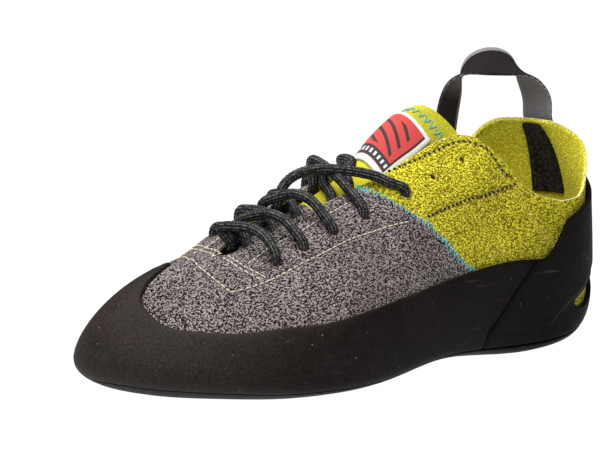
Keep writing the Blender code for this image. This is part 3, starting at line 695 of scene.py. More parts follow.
def shell(name, outer, inner, looks, ring=False, open_top=None, holes=(), attributes=None):
    """Closed fine shell between two grids of points, with round holes through both."""
    rows, count = outer.shape[:2]
    spans = count if ring else count - 1
    outer, inner = outer.copy(), inner.copy()
    kept = np.ones((rows - 1, spans), bool)
    walls = []
    for centre, normal, radius in holes:
        away = outer - centre
        level = away @ normal
        flat = away - level[..., None] * normal
        far = np.linalg.norm(flat, axis=-1)
        inside = (far < radius) & (np.abs(level) < 6.0)
        near = np.argwhere(inside)
        if len(near) == 0:
            continue
        gone = set()
        for i, j in near:
            for di in (-1, 0):
                for dj in (-1, 0):
                    gone.add((i + di, (j + dj) % spans))
        border = {}
        for i, j in gone:
            kept[i, j] = False
            k = (j + 1) % count
            sides = (((i, j), (i, k), (i - 1, j)), ((i, k), (i + 1, k), (i, (j + 1) % spans)),
                     ((i + 1, k), (i + 1, j), (i + 1, j)), ((i + 1, j), (i, j), (i, (j - 1) % spans)))
            for a, b, other in sides:
                if other not in gone:
                    walls.append((a, b))
                    border[a] = border[b] = True
        for i, j in border:
            scale = radius / max(far[i, j], 1e-6)
            outer[i, j] = centre + normal * level[i, j] + flat[i, j] * scale
            back = inner[i, j] - centre
            deep = back @ normal
            side = back - deep * normal
            inner[i, j] = centre + normal * deep + side * radius / max(np.linalg.norm(side), 1e-6)
    far = rows * count
    j = np.arange(spans)
    k = (j + 1) % count
    faces = []
    for i in range(rows - 1):
        live = kept[i]
        a, b, c, d = i * count + j, i * count + k, (i + 1) * count + k, (i + 1) * count + j
        faces += np.stack([a, b, c, d], 1)[live].tolist()
        faces += (np.stack([d, c, b, a], 1)[live] + far).tolist()
    top = (rows - 1) * count
    faces += np.stack([k, j, far + j, far + k], 1).tolist()
    over = np.ones(spans, bool) if open_top is None else (open_top[j] | open_top[k])
    faces += np.stack([top + j, top + k, far + top + k, far + top + j], 1)[over].tolist()
    if not ring:
        for i in range(rows - 1):
            low, high = i * count, (i + 1) * count
            faces.append((low, high, far + high, far + low))
            low, high = low + count - 1, high + count - 1
            faces.append((high, low, far + low, far + high))
    for a, b in walls:
        p, q = a[0] * count + a[1], b[0] * count + b[1]
        faces.append((q, p, far + p, far + q))
    points = np.concatenate([outer.reshape(-1, 3), inner.reshape(-1, 3)])
    values = {}
    for key, (front, behind) in (attributes or {}).items():
        values[key] = np.concatenate([front.reshape(-1), behind.reshape(-1)])
    return mesh_object(name, points, faces, looks, values)


def shares(count, near_low=(), near_high=(), span=1.0):
    """Even shares from 0 to 1 with extra ones at given distances in mm from each end."""
    inner = np.linspace(0.0, 1.0, count)
    low = np.array(near_low) / span
    high = 1 - np.array(near_high)[::-1] / span
    first, last = (low.max() if len(low) else 0.0), (high.min() if len(high) else 1.0)
    inner = inner[(inner > first + 0.3 / count) & (inner < last - 0.3 / count)]
    return np.unique(np.concatenate([[0.0], low, inner, high, [1.0]]))


def rounding(distance, radius):
    """Drop in mm of a rounded edge at a distance from it."""
    reach = np.clip(radius - distance, 0.0, radius)
    return radius - np.sqrt(np.maximum(radius**2 - reach**2, 0.0))


def columns_round(heel=84, collar=60, vamp=104, toe=104):
    """Places round the outline: pairs at the same y down the sides, even steps at heel and toe."""
    split = 0.330 * LENGTH
    sides = np.concatenate([np.linspace(HEEL_CENTRE, split, collar, endpoint=False),
                            np.linspace(split, TOE_CENTRE, vamp)])
    lateral, medial = side_at(sides, -1), side_at(sides, 1)
    front = np.linspace(lateral[-1], medial[-1], toe)[1:-1]
    back = np.linspace(medial[0], lateral[0] + AROUND, heel)[1:-1]
    return np.concatenate([lateral, front, medial[::-1], back])


def cord(name, path, radius, look, sides=30, step=0.27, braid=0.11):
    """Braided round lace along a path, with strands in low relief and their flecks."""
    path = resample(path, step)
    ahead = np.gradient(path, axis=0)
    ahead /= np.linalg.norm(ahead, axis=1)[:, None]
    normal = np.zeros_like(path)
    side = np.cross(ahead[0], (0.0, 0.0, 1.0))
    normal[0] = side / np.linalg.norm(side)
    for i in range(1, len(path)):
        turned = normal[i - 1] - ahead[i] * (normal[i - 1] @ ahead[i])
        normal[i] = turned / np.linalg.norm(turned)
    second = np.cross(ahead, normal)
    along = np.concatenate([[0.0], np.cumsum(np.linalg.norm(np.diff(path, axis=0), axis=1))])
    turn = np.arange(sides) * 2 * math.pi / sides
    a, t = along[:, None], turn[None, :]
    carriers, slant = 5, 4.1
    left = np.sin(carriers * t + slant * a)
    right = np.sin(carriers * t - slant * a + 1.3)
    high = np.maximum(left, right)
    swell = radius + braid * (high - 0.7)
    ring = normal[:, None] * np.cos(turn)[None, :, None] + second[:, None] * np.sin(turn)[None, :, None]
    points = path[:, None] + ring * swell[..., None]
    count = len(path)
    i, j = np.meshgrid(np.arange(count - 1), np.arange(sides), indexing="ij")
    k = (j + 1) % sides
    faces = np.stack([i * sides + j, i * sides + k, (i + 1) * sides + k, (i + 1) * sides + j], -1)
    faces = faces.reshape(-1, 4).tolist()
    faces += [tuple(range(sides)), tuple((count - 1) * sides + n for n in range(sides))]
    fleck = np.clip((left * right - 0.30) * 2.6, 0, 1)
    return mesh_object(name, points.reshape(-1, 3), faces, [look], {"fleck": fleck.ravel()}), along[-1]


def threads(name, runs, radius, look, sides=6):
    """Many short rounded thread ends as one mesh: each run is a start, an end and an outward way."""
    points, faces = [], []
    turn = np.arange(sides) * 2 * math.pi / sides
    profile = [(0.0, 0.05, -0.55), (0.10, 0.75, -0.10), (0.30, 1.0, 0.25), (0.70, 1.0, 0.25),
               (0.90, 0.75, -0.10), (1.0, 0.05, -0.55)]
    for start, end, normal in runs:
        along = end - start
        length = np.linalg.norm(along)
        ahead = along / max(length, 1e-6)
        normal = normal - ahead * (normal @ ahead)
        normal = normal / np.linalg.norm(normal)
        side = np.cross(ahead, normal)
        base = len(points)
        for share, size, lift in profile:
            centre = start + along * share + normal * lift * radius
            for angle in turn:
                points.append(centre + (side * math.cos(angle) + normal * math.sin(angle)) * radius * size)
        for i in range(len(profile) - 1):
            for j in range(sides):
                k = (j + 1) % sides
                a, b = base + i * sides, base + (i + 1) * sides
                faces.append((a + j, a + k, b + k, b + j))
        faces.append(tuple(base + j for j in range(sides)))
        last = base + (len(profile) - 1) * sides
        faces.append(tuple(last + j for j in reversed(range(sides))))
    return mesh_object(name, points, faces, [look], weld=0)


# Materials
def new_material(name, roughness, specular=0.35, sheen=0.0):
    item = bpy.data.materials.new("look_" + name)
    item.use_nodes = True
    shader = item.node_tree.nodes["Principled BSDF"]
    shader.inputs["Roughness"].default_value = roughness
    shader.inputs["Specular IOR Level"].default_value = specular
    shader.inputs["Sheen Weight"].default_value = sheen
    shader.inputs["Sheen Roughness"].default_value = 0.5
    return item, item.node_tree, shader


def node(tree, kind, inputs=None, **settings):
    """New node with settings; inputs are numbers, or sockets to link from."""
    item = tree.nodes.new(kind)
    for key, value in settings.items():
        setattr(item, key, value)
    for key, value in (inputs or {}).items():
        socket = item.inputs[key]
        if isinstance(value, bpy.types.NodeSocket):
            tree.links.new(value, socket)
        elif hasattr(socket.default_value, "__len__") and not hasattr(value, "__len__"):
            socket.default_value = [value] * len(socket.default_value)
        elif hasattr(value, "__len__") and len(value) == 3 and len(socket.default_value) == 4:
            socket.default_value = (*value, 1.0)
        else:
            socket.default_value = value
    return item


def coordinates(tree, scale=(1.0, 1.0, 1.0), turn=(0.0, 0.0, 0.0)):
    place = node(tree, "ShaderNodeTexCoord")
    return node(tree, "ShaderNodeMapping", {"Vector": place.outputs["Object"], "Scale": scale,
                                            "Rotation": turn}).outputs["Vector"]


def noise(tree, vector, scale, detail=2.0, rough=0.5):
    return node(tree, "ShaderNodeTexNoise", {"Vector": vector, "Scale": scale, "Detail": detail,
                                             "Roughness": rough}).outputs["Fac"]


def remap(tree, value, low, high, to_low=0.0, to_high=1.0):
    return node(tree, "ShaderNodeMapRange", {"Value": value, "From Min": low, "From Max": high,
                                             "To Min": to_low, "To Max": to_high}).outputs["Result"]


def math_node(tree, operation, a, b=0.0, c=0.0):
    return node(tree, "ShaderNodeMath", {0: a, 1: b, 2: c}, operation=operation).outputs[0]


def mix(tree, factor, a, b, blend="MIX"):
    item = node(tree, "ShaderNodeMix", data_type="RGBA", blend_type=blend)
    for index, value in ((0, factor), (6, a), (7, b)):
        socket = item.inputs[index]
        if isinstance(value, bpy.types.NodeSocket):
            tree.links.new(value, socket)
        else:
            socket.default_value = (*value, 1.0) if hasattr(value, "__len__") else value
    return item.outputs[2]


def attribute(tree, name, output="Fac"):
    return node(tree, "ShaderNodeAttribute", attribute_name=name, attribute_type="GEOMETRY").outputs[output]


def bump(tree, height, distance, strength=1.0, normal=None):
    inputs = {"Height": height, "Distance": distance, "Strength": strength}
    if normal is not None:
        inputs["Normal"] = normal
    return node(tree, "ShaderNodeBump", inputs).outputs["Normal"]


def nap(tree, fine, hard):
    """Speckle of a suede's nap from 0 to 1, and its height."""
    plain = coordinates(tree)
    slanted = coordinates(tree, (1.0, 0.55, 1.0), (0.7, 0.0, 0.0))
    grain = noise(tree, plain, fine, 1.0, 0.5)
    fibre = noise(tree, slanted, fine * 0.8, 1.0, 0.5)
    both = math_node(tree, "MULTIPLY_ADD", fibre, 0.5, math_node(tree, "MULTIPLY", grain, 0.5))
    return remap(tree, both, 0.52 - hard, 0.52 + hard), both


def suede_look(name, dark, light, fine=1900.0, hard=0.070, deep=0.0007, with_seam=False, grey_toe=False):
    """Speckled nap of two tones; the upper's also has its grey front, cut edges, an inside painted lighter
    as painted light against its shade, and grooves darkened with painted shade and some dirt.
    """
    item, tree, shader = new_material(name, 0.95, 0.06, 0.04)
    speckle, height = nap(tree, fine, hard)
    lime = mix(tree, speckle, dark, light)
    colour = lime
    if with_seam:
        # Inside face: lighter lime, painted light against the shade inside the shoe
        inside = attribute(tree, "inside")
        lime = mix(tree, inside, lime, mix(tree, speckle, LIT_INSIDE_DARK, LIT_INSIDE_LIGHT))
        grey = mix(tree, nap(tree, fine, 0.045)[0], GREY_DARK, GREY_LIGHT)
        ragged = remap(tree, noise(tree, coordinates(tree), 900.0), 0.0, 1.0, -0.25, 0.25)
        border = math_node(tree, "ADD", attribute(tree, "lime"), ragged)
        colour = mix(tree, remap(tree, border, -0.15, 0.15), grey, lime)
    if grey_toe:
        toe_part = node(tree, "ShaderNodeSeparateXYZ", {0: coordinates(tree)}).outputs[1]
        grey = mix(tree, nap(tree, fine, 0.07)[0], GREY_DARK, GREY_LIGHT)
        past = remap(tree, toe_part, TONGUE_BORDER - 0.0003, TONGUE_BORDER + 0.0003)
        colour = mix(tree, past, colour, grey)
    cloud = remap(tree, noise(tree, coordinates(tree), 48.0, 3.0), 0.3, 0.7, 0.84, 1.14)
    shade = node(tree, "ShaderNodeCombineColor", {0: cloud, 1: cloud, 2: cloud}).outputs[0]
    colour = mix(tree, 1.0, colour, shade, "MULTIPLY")
    if with_seam:
        pale = remap(tree, attribute(tree, "edge"), 0.25, 0.8, 0.75, 0.0)
        cut = mix(tree, remap(tree, attribute(tree, "lime"), -0.5, 0.5), RAW_GREY, RAW_EDGE)
        colour = mix(tree, pale, colour, cut)
        # Stitch rows and the colour border darkened: painted shade, with some dirt
        shade_and_dirt_amount = remap(tree, attribute(tree, "groove"), 0.0, 1.0, 0.0, 0.35)
        colour = mix(tree, shade_and_dirt_amount, colour, SHADE_AND_DIRT)
    tree.links.new(colour, shader.inputs["Base Color"])
    tree.links.new(bump(tree, height, deep, 0.9), shader.inputs["Normal"])
    return item


def rubber_look(name, base, worn, amount):
    """Black rubber, greyer and dustier towards the toe, with streaks, scuffs and dust."""
    item, tree, shader = new_material(name, 0.6, 0.045)
    plain = coordinates(tree)
    place = node(tree, "ShaderNodeSeparateXYZ", {0: plain})
    toe = remap(tree, place.outputs[1], 0.130, 0.232)
    streak = noise(tree, coordinates(tree, (1.0, 0.35, 1.0), (0.12, 0.0, 0.0)), 420.0, 4.0, 0.65)
    cloud = noise(tree, plain, 24.0, 3.0, 0.6)
    wear = math_node(tree, "MULTIPLY_ADD", streak, 0.5, math_node(tree, "MULTIPLY", cloud, 0.5))
    rubbed = math_node(tree, "MULTIPLY_ADD", toe, 0.75, remap(tree, wear, 0.40, 0.66, 0.0, 0.35 * amount))
    colour = mix(tree, math_node(tree, "MULTIPLY", rubbed, amount), base, worn)
    fine = remap(tree, noise(tree, plain, 1300.0, 3.0, 0.7), 0.35, 0.65, 0.55, 1.50)
    shade = node(tree, "ShaderNodeCombineColor", {0: fine, 1: fine, 2: fine}).outputs[0]
    colour = mix(tree, 1.0, colour, shade, "MULTIPLY")
    speck = remap(tree, noise(tree, plain, 560.0, 1.0, 0.4), 0.775, 0.81, 0.0, 0.50)
    colour = mix(tree, speck, colour, DUST)
    drawn = noise(tree, coordinates(tree, (1.0, 0.12, 1.0), (0.3, 0.2, 0.1)), 300.0, 2.0)
    colour = mix(tree, remap(tree, drawn, 0.70, 0.76, 0.0, 0.12), colour, SCUFF)
    tree.links.new(colour, shader.inputs["Base Color"])
    tree.links.new(remap(tree, wear, 0.35, 0.65, 0.48, 0.62), shader.inputs["Roughness"])
    first = bump(tree, noise(tree, plain, 1500.0, 3.0, 0.6), 0.00018, 0.8)
    tree.links.new(bump(tree, streak, 0.00022, 0.6, first), shader.inputs["Normal"])
    return item


def thread_look(name, colour, dark=0.55):
    item, tree, shader = new_material(name, 0.7, 0.3, 0.15)
    twist = noise(tree, coordinates(tree), 2600.0, 2.0)
    deep = tuple(v * dark for v in colour)
    tree.links.new(mix(tree, remap(tree, twist, 0.35, 0.6), deep, colour), shader.inputs["Base Color"])
    tree.links.new(bump(tree, twist, 0.0002, 0.6), shader.inputs["Normal"])
    return item


def lace_look():
    item, tree, shader = new_material("lace", 0.62, 0.20, 0.0)
    fleck = math_node(tree, "MULTIPLY", attribute(tree, "fleck"),
                      remap(tree, noise(tree, coordinates(tree), 1000.0, 1.0), 0.42, 0.58, 0.10, 1.0))
    colour = mix(tree, fleck, LACE_BLACK, LACE_GREY)
    tree.links.new(colour, shader.inputs["Base Color"])
    tree.links.new(bump(tree, noise(tree, coordinates(tree), 3000.0), 0.0001, 0.5), shader.inputs["Normal"])
    return item


def webbing_look():
    """Twill webbing: dark outer face with a pale edge, paler weave inside, and painted shade on the inside
    of the leg within the collar.
    """
    item, tree, shader = new_material("webbing", 0.8, 0.06)
    place = node(tree, "ShaderNodeSeparateXYZ", {0: attribute(tree, "cloth", "Vector")})
    along, across, face = (place.outputs[i] for i in range(3))
    weft = math_node(tree, "SINE", math_node(tree, "MULTIPLY_ADD", along, 7.0,
                                             math_node(tree, "MULTIPLY", across, 5.0)))
    warp = math_node(tree, "SINE", math_node(tree, "MULTIPLY_ADD", along, -2.4,
                                             math_node(tree, "MULTIPLY", across, 9.0)))
    weave = remap(tree, math_node(tree, "MAXIMUM", weft, warp), -0.2, 1.0)
    outer = mix(tree, weave, WEB_BLACK, WEB_FACE)
    inner = mix(tree, weave, WEB_INSIDE, WEB_GREY)
    # Past about 62 to 74 mm along, on the leg inside the collar, the inner face is painted dark as shade
    inner = mix(tree, remap(tree, along, 62.0, 74.0), inner, mix(tree, weave, WEB_BLACK, WEB_SHADED_BROWN))
    colour = mix(tree, remap(tree, face, -0.2, 0.2), inner, outer)
    edge = remap(tree, across, WEBBING * 0.5 - 2.1, WEBBING * 0.5 - 1.9)
    pale = mix(tree, weave, WEB_EDGE_DARK, WEB_EDGE)
    colour = mix(tree, edge, colour, pale)
    tree.links.new(colour, shader.inputs["Base Color"])
    tree.links.new(bump(tree, weave, 0.00022, 0.9), shader.inputs["Normal"])
    return item


def label_look():
    """Woven label of plain fields: white border, red field with slanted dark lines, dark band."""
    item, tree, shader = new_material("label", 0.55, 0.35, 0.1)
    place = node(tree, "ShaderNodeSeparateXYZ", {0: attribute(tree, "cloth", "Vector")})
    along, across = place.outputs[0], place.outputs[1]
    weave = math_node(tree, "MULTIPLY", math_node(tree, "SINE", math_node(tree, "MULTIPLY", along, 14.0)),
                      math_node(tree, "SINE", math_node(tree, "MULTIPLY", across, 14.0)))

    def inside(value, low, high):
        over = remap(tree, value, low - 0.06, low + 0.06)
        return math_node(tree, "MULTIPLY", over, remap(tree, value, high - 0.06, high + 0.06, 1.0, 0.0))

    half = LABEL_LONG * 0.5
    field = math_node(tree, "MULTIPLY", inside(along, -half + 1.8, half - 2.2), inside(across, -7.7, 7.7))
    slanted = math_node(tree, "SINE", math_node(tree, "MULTIPLY_ADD", along, 1.25,
                                                math_node(tree, "MULTIPLY", across, 0.9)))
    panel = math_node(tree, "MULTIPLY", inside(along, -half + 5.0, half - 8.0), inside(across, -5.2, 5.2))
    lines = math_node(tree, "MULTIPLY", remap(tree, slanted, 0.45, 0.60), panel)
    band = inside(along, half - 6.6, half - 2.4)
    waves = math_node(tree, "SINE", math_node(tree, "MULTIPLY", across, 3.6))
    dashes = math_node(tree, "MULTIPLY", inside(along, half - 5.4, half - 3.6), remap(tree, waves, 0.0, 0.3))
    outline_dark = math_node(tree, "MULTIPLY", field,
                             math_node(tree, "SUBTRACT", 1.0, inside(across, -7.0, 8.5)))
    colour = mix(tree, field, LABEL_WHITE, LABEL_RED)
    colour = mix(tree, lines, colour, LABEL_BLACK)
    colour = mix(tree, outline_dark, colour, LABEL_BLACK)
    band_dark = mix(tree, dashes, LABEL_BLACK, LABEL_WHITE)
    colour = mix(tree, math_node(tree, "MULTIPLY", band, inside(across, -7.7, 7.7)), colour, band_dark)
    grey = remap(tree, weave, -1.0, 1.0, 0.82, 1.06)
    shade = node(tree, "ShaderNodeCombineColor", {0: grey, 1: grey, 2: grey}).outputs[0]
    colour = mix(tree, 1.0, colour, shade, "MULTIPLY")
    tree.links.new(colour, shader.inputs["Base Color"])
    tree.links.new(bump(tree, weave, 0.0001, 0.6), shader.inputs["Normal"])
    return item


def floor_look():
    """White floor that stays white and takes only a faint shadow."""
    item, _, shader = new_material("floor", 0.9, 0.0)
    shader.inputs["Base Color"].default_value = (0.05, 0.05, 0.05, 1.0)
    shader.inputs["Emission Color"].default_value = (1.0, 1.0, 1.0, 1.0)
    shader.inputs["Emission Strength"].default_value = FLOOR_GLOW
    return item


LOOKS = {
    "suede": suede_look("suede", LIME_DARK, LIME_LIGHT, with_seam=True),
    "tongue": suede_look("tongue", TONGUE_DARK, TONGUE_LIGHT, 1700.0, 0.2, 0.0004, grey_toe=True),
    "insole": suede_look("insole", INSOLE_DARK, INSOLE_LIGHT, 1300.0),
    "patch": suede_look("patch", PATCH_DARK, PATCH_LIGHT, 1100.0, 0.08),
    "rubber": rubber_look("rubber", RUBBER_BLACK, RUBBER_WORN, 1.0),
    # Outsole: darker rubber tones as painted shade on the underside
    "sole": rubber_look("sole", SHADED_SOLE_BLACK, SHADED_SOLE_WORN, 0.7),
    "band": rubber_look("band", BAND_BLACK, BAND_WORN, 0.5),
    "cream": thread_look("cream", CREAM),
    "sky": thread_look("sky", SKY),
    "black": thread_look("black", THREAD_BLACK),
    "lace": lace_look(),
    "webbing": webbing_look(),
    "label": label_look(),
}


def place(item, node_name, slot):
    """Puts a piece in the frame's body in the place of the plain solid, which it hides; slot is not used."""
    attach(item, "root")
    if node_name:
        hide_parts(*([node_name] if isinstance(node_name, str) else node_name))
    return item


# The pieces
def outward(u, up):
    """Outward way of the last at a place."""
    normal = np.cross(skin(u + 0.5, up) - skin(u - 0.5, up), skin(u, up + 0.004) - skin(u, up - 0.004))
    normal = normal / np.linalg.norm(normal, axis=-1)[..., None]
    return normal * np.where((normal * (skin(u, up, 1.0) - skin(u, up))).sum(-1) < 0, -1.0, 1.0)[..., None]


def eyelet_holes():
    """Middle, outward way and radius of each eyelet."""
    holes = []
    for row, (lateral, medial, up) in enumerate(EYELETS):
        radius = 0.5 * (LACED_EYELET if row < LACED_PAIRS else EYELET)
        for side, along in ((-1, lateral), (1, medial)):
            u = float(side_at(along * LENGTH, side))
            holes.append((skin(u, up), outward(u, up), radius))
    return holes


def build_upper():
    u = columns_round()
    sole, rubber, top = sole_edge(u, 0.0), rubber_edge(u), rim(u)
    under = np.array([np.full_like(u, row) for row in np.linspace(-0.72, UNDER, 6)])
    hidden = np.array([sole + (rubber - sole) * s for s in np.linspace(0.0, 0.9, 8)])
    height = np.linalg.norm(skin(u, top) - skin(u, rubber), axis=-1)
    seen = shares(60, (), (0.12, 0.35, 0.7, 1.1), 60.0)
    wall = np.array([rubber + (top - rubber) * s for s in seen[1:]])
    start = np.array([rubber + (top - rubber) * -0.02, rubber])
    ups = np.concatenate([under, hidden, start, wall])
    around = np.broadcast_to(u, ups.shape)
    base = skin(around, ups)
    rise = relief(base, around, ups)
    fade = np.clip((ups - UNDER) * 4, 0, 1)
    edge = np.full(ups.shape, 9.0)
    open_top = top < 0.9999
    edge[-len(wall):] = (1 - seen[1:])[:, None] * height
    edge = np.where(open_top[None, :], edge, 9.0)
    drop = rounding(edge, 0.7)
    outer = skin(around, ups, rise * fade - drop)
    inner = skin(around, ups, -WALL + 0.6 * rise * fade + drop, -WALL)
    holes = eyelet_holes()
    for centre, _, radius in holes:
        edge = np.minimum(edge, np.maximum(np.linalg.norm(base - centre, axis=-1) - radius, 0.0) + 0.15)
    lime = seam_distance(base, around, ups)
    # Stitch rows and colour border, where the suede colour is darkened as painted shade, with some dirt
    groove = np.zeros(ups.shape)
    for line in LINES.values():
        groove = np.maximum(groove, np.exp(-(distance_to(base, thin(line)) / 0.8)**2))
    groove = np.maximum(groove, np.exp(-(lime / 0.7)**2))
    none = np.zeros(ups.shape)
    # inside marks the inner face, whose lime is painted lighter as painted light
    item = shell("upper_suede", outer, inner, [LOOKS["suede"]], True, open_top, holes,
                 {"lime": (lime, np.full(ups.shape, 5.0)), "edge": (edge, edge + 2.0),
                  "groove": (groove, none), "inside": (none, none + 1.0)})
    return place(item, "upper", "suede")


def build_outsole():
    u = columns_round(70, 50, 90, 90)
    edge = sole_edge(u, -0.12)
    rows = np.concatenate([[-1.0, -0.96, -0.92, -0.86], np.linspace(-0.80, UNDER, 10)])
    ups = np.array([np.full_like(u, row) for row in rows])
    way = shares(9, (), (0.10, 0.30, 0.65), 12.0)[1:]
    ups = np.concatenate([ups, np.array([UNDER + (edge - UNDER) * s for s in way])])[::-1]
    around = np.broadcast_to(u, ups.shape)
    away = np.linalg.norm(skin(around, ups) - skin(around, np.broadcast_to(edge, ups.shape)), axis=-1)
    outer = skin(around, ups, GAP + RAND - rounding(away, 0.6), SOLE + GAP)
    outer[..., 2] = np.maximum(outer[..., 2], 0.0)
    inner = skin(around, ups, GAP + 0.5 * BAND_EASE, GAP)
    # Outsole look: darker tones as painted shade on the underside
    item = shell("outsole_rubber", outer, inner, [LOOKS["sole"]], True, np.zeros(len(u), bool))
    return place(item, "outsole", "rubber")


def build_insole():
    u = columns_round(40, 30, 50, 50)
    gap = WALL + 2 * GAP
    ups = np.array([np.full_like(u, row) for row in (-0.64, -0.70, -0.80, -0.90, -1.0)])
    around = np.broadcast_to(u, ups.shape)
    lower = skin(around, ups, -gap, -gap)
    upper = lower + (0.0, 0.0, INSOLE)
    item = shell("insole_board", lower, upper, [LOOKS["insole"]], True, np.zeros(len(u), bool))
    return place(item, "insole", "insole")


def rand_columns(ways, heel, count):
    """Columns of a rand in each row, from the diagonal joint on one side to that on the other."""
    joint = np.array(JOINT)
    pad = -0.25 if heel else 0.25
    rows = []
    for way in ways:
        here = np.interp(way, joint[:, 0], joint[:, 1]) * LENGTH + pad
        if heel:
            first, last = side_at(here, 1) - AROUND, side_at(here, -1)
        else:
            first, last = side_at(here, -1), side_at(here, 1)
        rows.append(np.linspace(first, last, count))
    return np.array(rows)


def end_distance(u):
    """Distance in mm along each row from the nearer end."""
    first, last = u[:, :1], u[:, -1:]
    return np.minimum(np.abs(u - first), np.abs(last - u))


def dense_ends(u, steps=(0.0, 0.15, 0.4, 0.8, 1.4)):
    """Adds columns close to both ends, for a rounded edge."""
    first, last = u[:, :1], u[:, -1:]
    low = np.concatenate([first + s for s in steps], 1)
    high = np.concatenate([last - s for s in steps[::-1]], 1)
    return np.concatenate([low, u[:, 1:-1], high], 1)


def build_rand_front():
    ways = shares(30, (0.1, 0.3, 0.65), (0.1, 0.3, 0.6, 1.0), 32.0)
    u = dense_ends(rand_columns(ways, False, 300))
    low, high = sole_edge(u, 0.12), rubber_edge(u)
    ups = low + (high - low) * ways[:, None]
    tall = np.linalg.norm(skin(u, high) - skin(u, low), axis=-1)
    top, foot = (1 - ways[:, None]) * tall, ways[:, None] * tall
    drop = rounding(top, 1.0) + rounding(foot, 0.5) + rounding(end_distance(u), 0.45)
    item = shell("rand_front_rubber", skin(u, ups, GAP + RAND - np.minimum(drop, RAND - 0.2), SOLE + GAP),
                 skin(u, ups, GAP, GAP), [LOOKS["rubber"]])
    return place(item, "rand_front", "rubber")


def band_way(ways, foot):
    """Way up the heel rubber for row shares, where the band's foot lies at a given way up."""
    below = foot * ways / BAND_FOOT
    above = foot + (1 - foot) * (ways - BAND_FOOT) / (1 - BAND_FOOT)
    return np.where(ways < BAND_FOOT, below, above)


def cut_window(item, side):
    """Cuts the gap of the heel rubber through a fine mesh."""
    rows = np.array(HEEL_WINDOW)
    u = rows[:, 0] * AROUND if side < 0 else AROUND * (1 - rows[:, 0])
    heights = np.append(rows[:, 1], rows[0, 1]) * HEEL_HEIGHT
    ring = resample(np.stack([np.append(u, u[0]), heights], 1), 1.0)[:-1]
    ups = up_at(ring[:, 0], ring[:, 1])
    points = np.concatenate([skin(ring[:, 0], ups, out, out) for out in (-1.0, 6.0)])
    count = len(ring)
    faces = [tuple(range(count)), tuple(range(2 * count - 1, count - 1, -1))]
    faces += [(i, (i + 1) % count, count + (i + 1) % count, count + i) for i in range(count)]
    tool = mesh_object("window_%d" % side, points, faces, [LOOKS["band"]])
    step = item.modifiers.new("window", "BOOLEAN")
    step.operation, step.solver, step.object = "DIFFERENCE", "EXACT", tool
    bpy.context.view_layer.update()
    seen = bpy.context.evaluated_depsgraph_get()
    mesh = bpy.data.meshes.new_from_object(item.evaluated_get(seen))
    item.modifiers.remove(step)
    item.data = mesh
    bpy.data.objects.remove(tool)


def build_rand_heel():
    ways = np.unique(np.concatenate([
        np.linspace(0.0, BAND_FOOT - 0.02, 10), [0.004, 0.012, 0.026],
        [BAND_FOOT - 0.012, BAND_FOOT, BAND_FOOT + 0.006, BAND_FOOT + 0.016],
        np.linspace(BAND_FOOT + 0.03, 0.965, 26), [0.978, 0.988, 0.996, 1.0]]))
    u = dense_ends(rand_columns(band_way(ways, BAND_FOOT_AT_JOINT), True, 220))
    low, ledge, high = sole_edge(u, 0.12), heel_edge(u, 2), rubber_edge(u)
    foot = (ledge - low) / (high - low)
    foot = foot + (BAND_FOOT_AT_JOINT - foot) * near_joint(u)
    ups = low + (high - low) * band_way(ways[:, None], foot)
    tall = np.linalg.norm(skin(u, high) - skin(u, low), axis=-1)
    step = np.where(ways[:, None] < BAND_FOOT, 0.0, BAND_STEP) + 0.0 * u
    over_foot = ways[:, None] - BAND_FOOT
    ledge_drop = np.where(over_foot >= 0, rounding(over_foot * 60.0, 0.4), 0.0)
    drop = rounding((1 - ways[:, None]) * tall * 1.6, 1.0) + rounding(ways[:, None] * tall, 0.5)
    drop = drop + rounding(end_distance(u), 0.45) + ledge_drop
    seat = GAP + BAND_EASE
    outer = skin(u, ups, GAP + RAND + step - np.minimum(drop, RAND - 0.3), SOLE + GAP)
    item = shell("heel_band_rubber", outer, skin(u, ups, seat, seat), [LOOKS["band"]])
    for side in (-1, 1):
        cut_window(item, side)
    item.data.shade_smooth()
    return place(item, "rand_heel", "rubber")


def tongue_surface(along, share, swell):
    """Points over the tongue: share -1 at its lateral edge, 0 on the ridge, 1 at its medial edge."""
    rows = np.array(TONGUE_ROWS)[::-1]
    edge, low, high, rise = (ease(rows[:, 0], rows[:, column], along) for column in (1, 2, 3, 4))
    up = 1 - np.abs(share) * (1 - edge)
    throat = np.array(THROAT)
    gap = 0.94 * (1 - ease(throat[:, 0], throat[:, 1], along)) / (1 - edge)
    across = np.clip(share / np.maximum(gap, 0.1), -1.0, 1.0)
    bulge = low + (high - low) * (1 - across**2) + 0.9 * rise * (1 + across)**3 * (1 - across)**2
    fade = (rows[-1, 0] - along) / (rows[-1, 0] - rows[0, 0])
    y = (along + TONGUE_SLANT * share * fade**3) * LENGTH
    u = np.where(share < 0, side_at(y, -1), side_at(y, 1))
    return skin(u, up, bulge + swell)


def build_tongue():
    rows = np.array(TONGUE_ROWS)
    long = LENGTH * (rows[0, 0] - rows[-1, 0])
    ways = shares(90, (0.2, 0.6, 1.2), (0.15, 0.45, 0.9, 1.5), long)
    down = rows[0, 0] + (rows[-1, 0] - rows[0, 0]) * ways
    along, share = np.broadcast_arrays(down[:, None], np.linspace(-1.0, 1.0, 61)[None, :])
    edge = np.minimum((1 - ways[:, None]) * long, ways[:, None] * long) + 0 * share
    side = (1 - np.abs(share)) * TONGUE_HALF
    drop = np.minimum(rounding(edge, 1.0) + rounding(side, 1.0), 0.5 * TONGUE - 0.1)
    top = tongue_surface(along, share, -drop)
    low = tongue_surface(along, share, -TONGUE + drop)
    return place(shell("tongue_suede", top, low, [LOOKS["tongue"]]), "tongue", "tongue")


